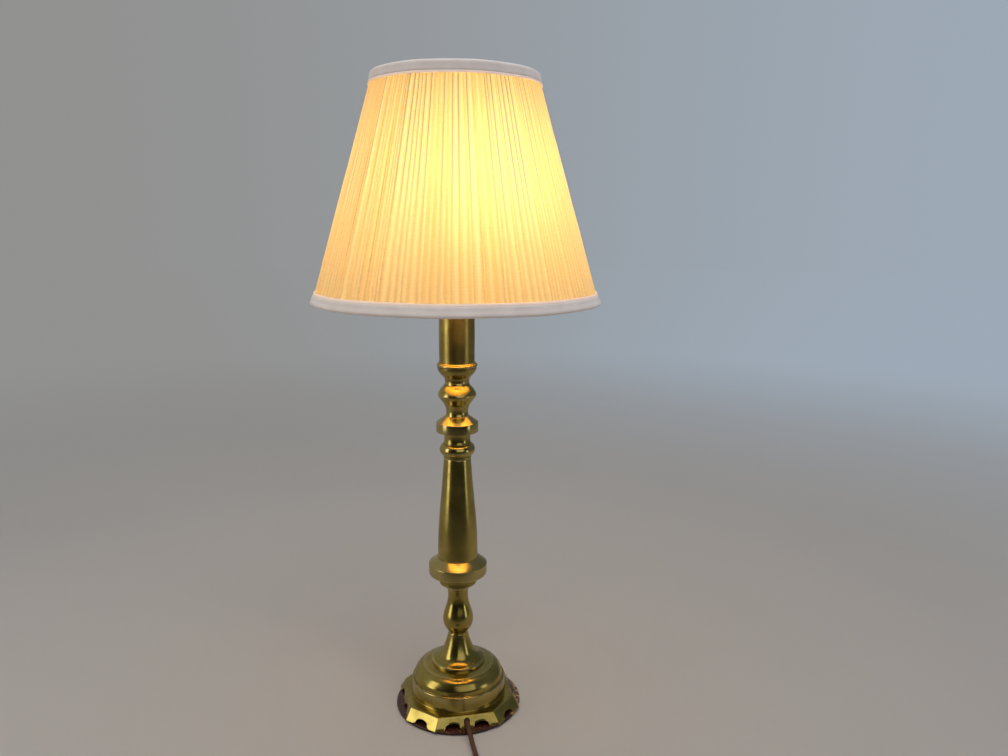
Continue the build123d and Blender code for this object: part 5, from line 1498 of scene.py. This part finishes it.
# --- lead ---
@dataclass
class Lead:
    """The flat twin lead, its coil and its plug. Millimetres."""

    exit: Triple = (12.49, -59.78, 10.0)
    coil_start: Pair = (30.0, -172.0)
    coil_radius: float = 41.5
    pitch: float = 5.8
    half_turns: int = 7
    points_per_half: int = 9
    width: float = 5.2
    thickness: float = 2.9
    lay: float = 2.65
    length: float = 1.80
    run: list[Triple] = field(default_factory=lambda: [
        (15.52, -74.27, 9.3), (19.6, -91.0, 4.2), (24.6, -110.0, 1.7), (28.8, -131.0, 2.0),
        (30.0, -152.0, 2.65), (30.0, -172.0, 2.65)])
    tail: list[Pair] = field(default_factory=lambda: [
        (0.0, -12.0), (3.0, -12.0), (6.5, -12.5)])

    def coil(self) -> list[Triple]:
        """The coil's points: half circles that shrink, climb once and grow again, clockwise.

        Returns:
            Places in millimetres.
        """
        radii = [self.coil_radius - self.pitch / 2 * k for k in range(self.half_turns)]
        climb = radii[-1] - self.pitch / 2
        back = [climb + self.pitch / 2 * (k + 1) for k in range(self.half_turns + 1)]
        halves = [(radius, 0.0) for radius in radii] + [(climb, self.pitch)]
        halves += [(radius, 0.0) for radius in back]
        step = math.pi / self.points_per_half
        x, y = self.coil_start
        level, side = self.lay, 1.0
        points = []
        for radius, rise in halves:
            centre = x - side * radius
            reach = side * radius / math.cos(step / 2)
            for k in range(self.points_per_half):
                turn = step * (k + 0.5)
                points.append((centre + reach * math.cos(turn), y - reach * math.sin(turn),
                               level + rise * (k + 0.5) / self.points_per_half))
            x = centre - side * radius
            level += rise
            side = -side
        return points

    def route(self) -> list[Triple]:
        """Every point of the lead's line, from the foot to the plug.

        Returns:
            Places in millimetres.
        """
        points = [self.exit, *self.run, *self.coil()]
        points.append((*self.coil_start, self.lay + self.pitch))
        for across, along in self.tail:
            x, y, level = points[-1]
            points.append((x + across, y + along, level))
        return points

    def line(self) -> np.ndarray:
        """The lead's smooth line, read from one spline through the route's points, in metres.

        Returns:
            Places in metres.
        """
        route = self.route()
        curve = bpy.data.curves.new("lead_line", "CURVE")
        curve.dimensions = "3D"
        curve.resolution_u = 8
        spline = curve.splines.new("NURBS")
        spline.points.add(len(route) - 1)
        places = np.array([(*point, 1.0) for point in route])
        places[:, :3] *= MM
        spline.points.foreach_set("co", places.ravel())
        spline.order_u = 3
        spline.use_endpoint_u = True
        holder = linked("lead_line", curve)
        mesh = worked_out(holder)
        line = places_of(mesh)
        bpy.data.objects.remove(holder)
        bpy.data.meshes.remove(mesh)
        return line

    def section(self) -> np.ndarray:
        """Two round conductors side by side with a web between them, in metres."""
        core = self.thickness / 2
        half = np.radians(np.linspace(-128, 128, 13))
        right = np.stack([self.width / 2 - core + core * np.cos(half), core * np.sin(half)], axis=1)
        return np.concatenate([right, -right]) * MM

    def build(self, finishes: Finishes) -> None:
        """Args:
            finishes: The lamp's finishes.
        """
        line = self.line()
        along = np.linalg.norm(np.diff(line, axis=0, prepend=line[:1]), axis=1).cumsum()
        turn = np.clip((along - 0.055) / 0.055, 0.0, 1.0)
        roll = math.pi / 2 * turn * turn * (3 - 2 * turn)
        lead = swept("flat_lead", line, self.section(), roll)
        finishes.dress(lead, "lead_brown", Body.LAMP, "cord_run", "cord_coil", "cord_tail")
        plug = self.plug()
        finishes.dress(plug, "plug_brown", Body.LAMP, "plug_body")

    def plug(self) -> Piece:
        """The plug's body along the lead's last run: a sleeve, then a grip with shallow ribs.

        Returns:
            The new object.
        """
        along = [0.0, 0.4, 3.0, 6.0, 8.5, 10.0, 11.5, 12.3, 13.5, 14.3, 15.5, 16.3, 17.5, 18.3,
                 19.5, 20.3, 24.0, 29.2, 29.8, 30.0]
        wide = [3.6, 4.3, 4.5, 5.6, 8.6, 10.6, 11.4, 10.9, 11.8, 11.1, 11.9, 11.2, 12.0, 11.3,
                12.0, 11.8, 11.9, 12.0, 11.8, 11.2]
        tall = [3.3, 3.8, 4.0, 4.6, 6.0, 7.2, 7.8, 7.3, 8.1, 7.5, 8.2, 7.6, 8.3, 7.7, 8.3, 8.1,
                8.2, 8.3, 8.1, 7.6]
        square = np.linspace(2.2, 4.5, len(along))
        before, start = np.array(self.route()[-2:])
        way = (start - before) / np.linalg.norm(start - before)
        level = np.array([-way[1], way[0], 0.0])
        return moulded("moulded_plug", start, way, level, np.array([along, wide, tall, square]), 72)


# --- studio ---
@dataclass(frozen=True)
class SoftBox:
    """A rectangular soft light that the camera doesn't see. Metres and watts."""

    name: str
    place: Triple
    aim: Triple
    size: Pair
    power: float
    colour: Triple = (1.0, 1.0, 1.0)
    mirrored: bool = True

    def hang(self) -> None:
        """Puts the light up and turns it to what it lights."""
        light = bpy.data.lights.new(self.name, "AREA")
        light.shape = "RECTANGLE"
        light.size, light.size_y = self.size
        light.energy = self.power
        light.color = self.colour
        holder = linked(self.name, light)
        way = Vector(self.aim) - Vector(self.place)
        holder.matrix_world = (
            Matrix.Translation(self.place) @ way.to_track_quat("-Z", "Y").to_matrix().to_4x4()
        )
        holder.visible_camera = False
        holder.visible_glossy = self.mirrored


@dataclass
class Studio:
    """The camera, the lights, the floor and the world. Metres, degrees and watts."""

    eye: Triple = (0.051, -0.896, 0.552)
    pitch: float = 10.71
    roll: float = 0.33
    lens: float = 30.0
    bulb: Triple = (0.020, -0.043, 0.581)
    bulb_power: float = 1.5
    bulb_colour: Triple = (1.0, 0.92, 0.72)
    floor_level: float = -0.0003
    paper: StudioPaper = StudioPaper()
    boxes: tuple[SoftBox, ...] = (
        SoftBox("left_box", (-1.16, -0.47, 0.50), (0.0, 0.0, 0.2), (0.45, 1.1), 2.9,
                (1.0, 0.99, 0.93)),
        SoftBox("right_box", (1.10, -0.42, 0.25), (0.0, 0.0, 0.15), (0.25, 0.4), 0.4,
                (0.97, 0.99, 1.0)),
        SoftBox("front_box", (0.51, -1.15, 0.82), (0.0, 0.0, 0.05), (1.1, 0.95), 2.1,
                (0.98, 0.99, 1.0)),
        SoftBox("top_box", (0.0, 0.2, 3.4), (0.0, 0.2, 0.0), (5.0, 5.0), 118.0, mirrored=False),
    )

    def camera(self) -> None:
        """Puts the camera where the photograph was taken from."""
        data = bpy.data.cameras.new("view")
        data.sensor_width = 36.0
        data.lens = self.lens
        data.clip_start = 0.01
        seen = linked("view", data)
        seen.matrix_world = (
            Matrix.Translation(self.eye)
            @ Matrix.Rotation(math.radians(90.0 - self.pitch), 4, "X")
            @ Matrix.Rotation(math.radians(self.roll), 4, "Z")
        )
        bpy.context.scene.camera = seen

    def bulb_light(self) -> None:
        """The light of the bulb, a little in front of its middle."""
        light = bpy.data.lights.new("bulb_light", "POINT")
        light.energy = self.bulb_power
        light.color = self.bulb_colour
        light.shadow_soft_size = 0.012
        holder = linked("bulb_light", light)
        holder.location = self.bulb
        holder.visible_glossy = False

    def floor(self) -> None:
        """A round floor that runs out into the backdrop's tone."""
        radius = np.array([0.0, 0.2, 0.5, 1.0, 2.0, 4.0, 9.0])[:, None]
        floor = surface("studio_floor", polar(radius, np.arange(96) * math.tau / 96,
                                              self.floor_level))
        floor.data.materials.append(self.paper.material())

    def world(self) -> None:
        """The backdrop's tone for what is seen, dimmer where the studio behind the camera is."""
        world = bpy.data.worlds.new("studio")
        bpy.context.scene.world = world
        sheet = Sheet(world)
        way = sheet.add("TexCoord").outputs["Generated"]
        rays = sheet.add("LightPath").outputs
        dim = sheet.ranged(sheet.part(way, 1), -0.85, 0.25, 0.06, 0.95)
        across = sheet.ranged(sheet.part(way, 0), -0.5, 0.6)
        less = sheet.add("MapRange", Value=across, To_Min=1.0, To_Max=0.3).outputs[0]
        gloss = sheet.add("Mix", in0=rays["Is Glossy Ray"], in2=0.75, in3=sheet.times(dim, less))
        seen = sheet.maths("MAXIMUM", rays["Is Camera Ray"], rays["Is Transmission Ray"])
        strength = sheet.add("Mix", in0=seen, in2=gloss.outputs[0], in3=1.0)
        tone = sheet.blend(across, self.paper.left_tone, self.paper.right_tone)
        shade = sheet.add("Background", in0=tone, in1=strength.outputs[0])
        sheet.add("OutputWorld", in0=shade.outputs[0])

    def build(self) -> None:
        """Sets up the studio."""
        self.camera()
        for box in self.boxes:
            box.hang()
        self.bulb_light()
        self.floor()
        self.world()
        bpy.context.scene.view_settings.view_transform = "Standard"


def main() -> None:
    """Builds the lamp and its studio in order."""
    logging.basicConfig(level=logging.INFO, format="%(name)s %(message)s")
    Studio().build()
    finishes = Finishes()
    finishes.dress_nodes()
    for part in (Lead(), Foot(), Stem(), Harp(), Socket(), Bulb(), Shade(), Finial()):
        part.build(finishes)
        LOG.info("built %s", type(part).__name__)


if __name__ == "__main__":
    main()
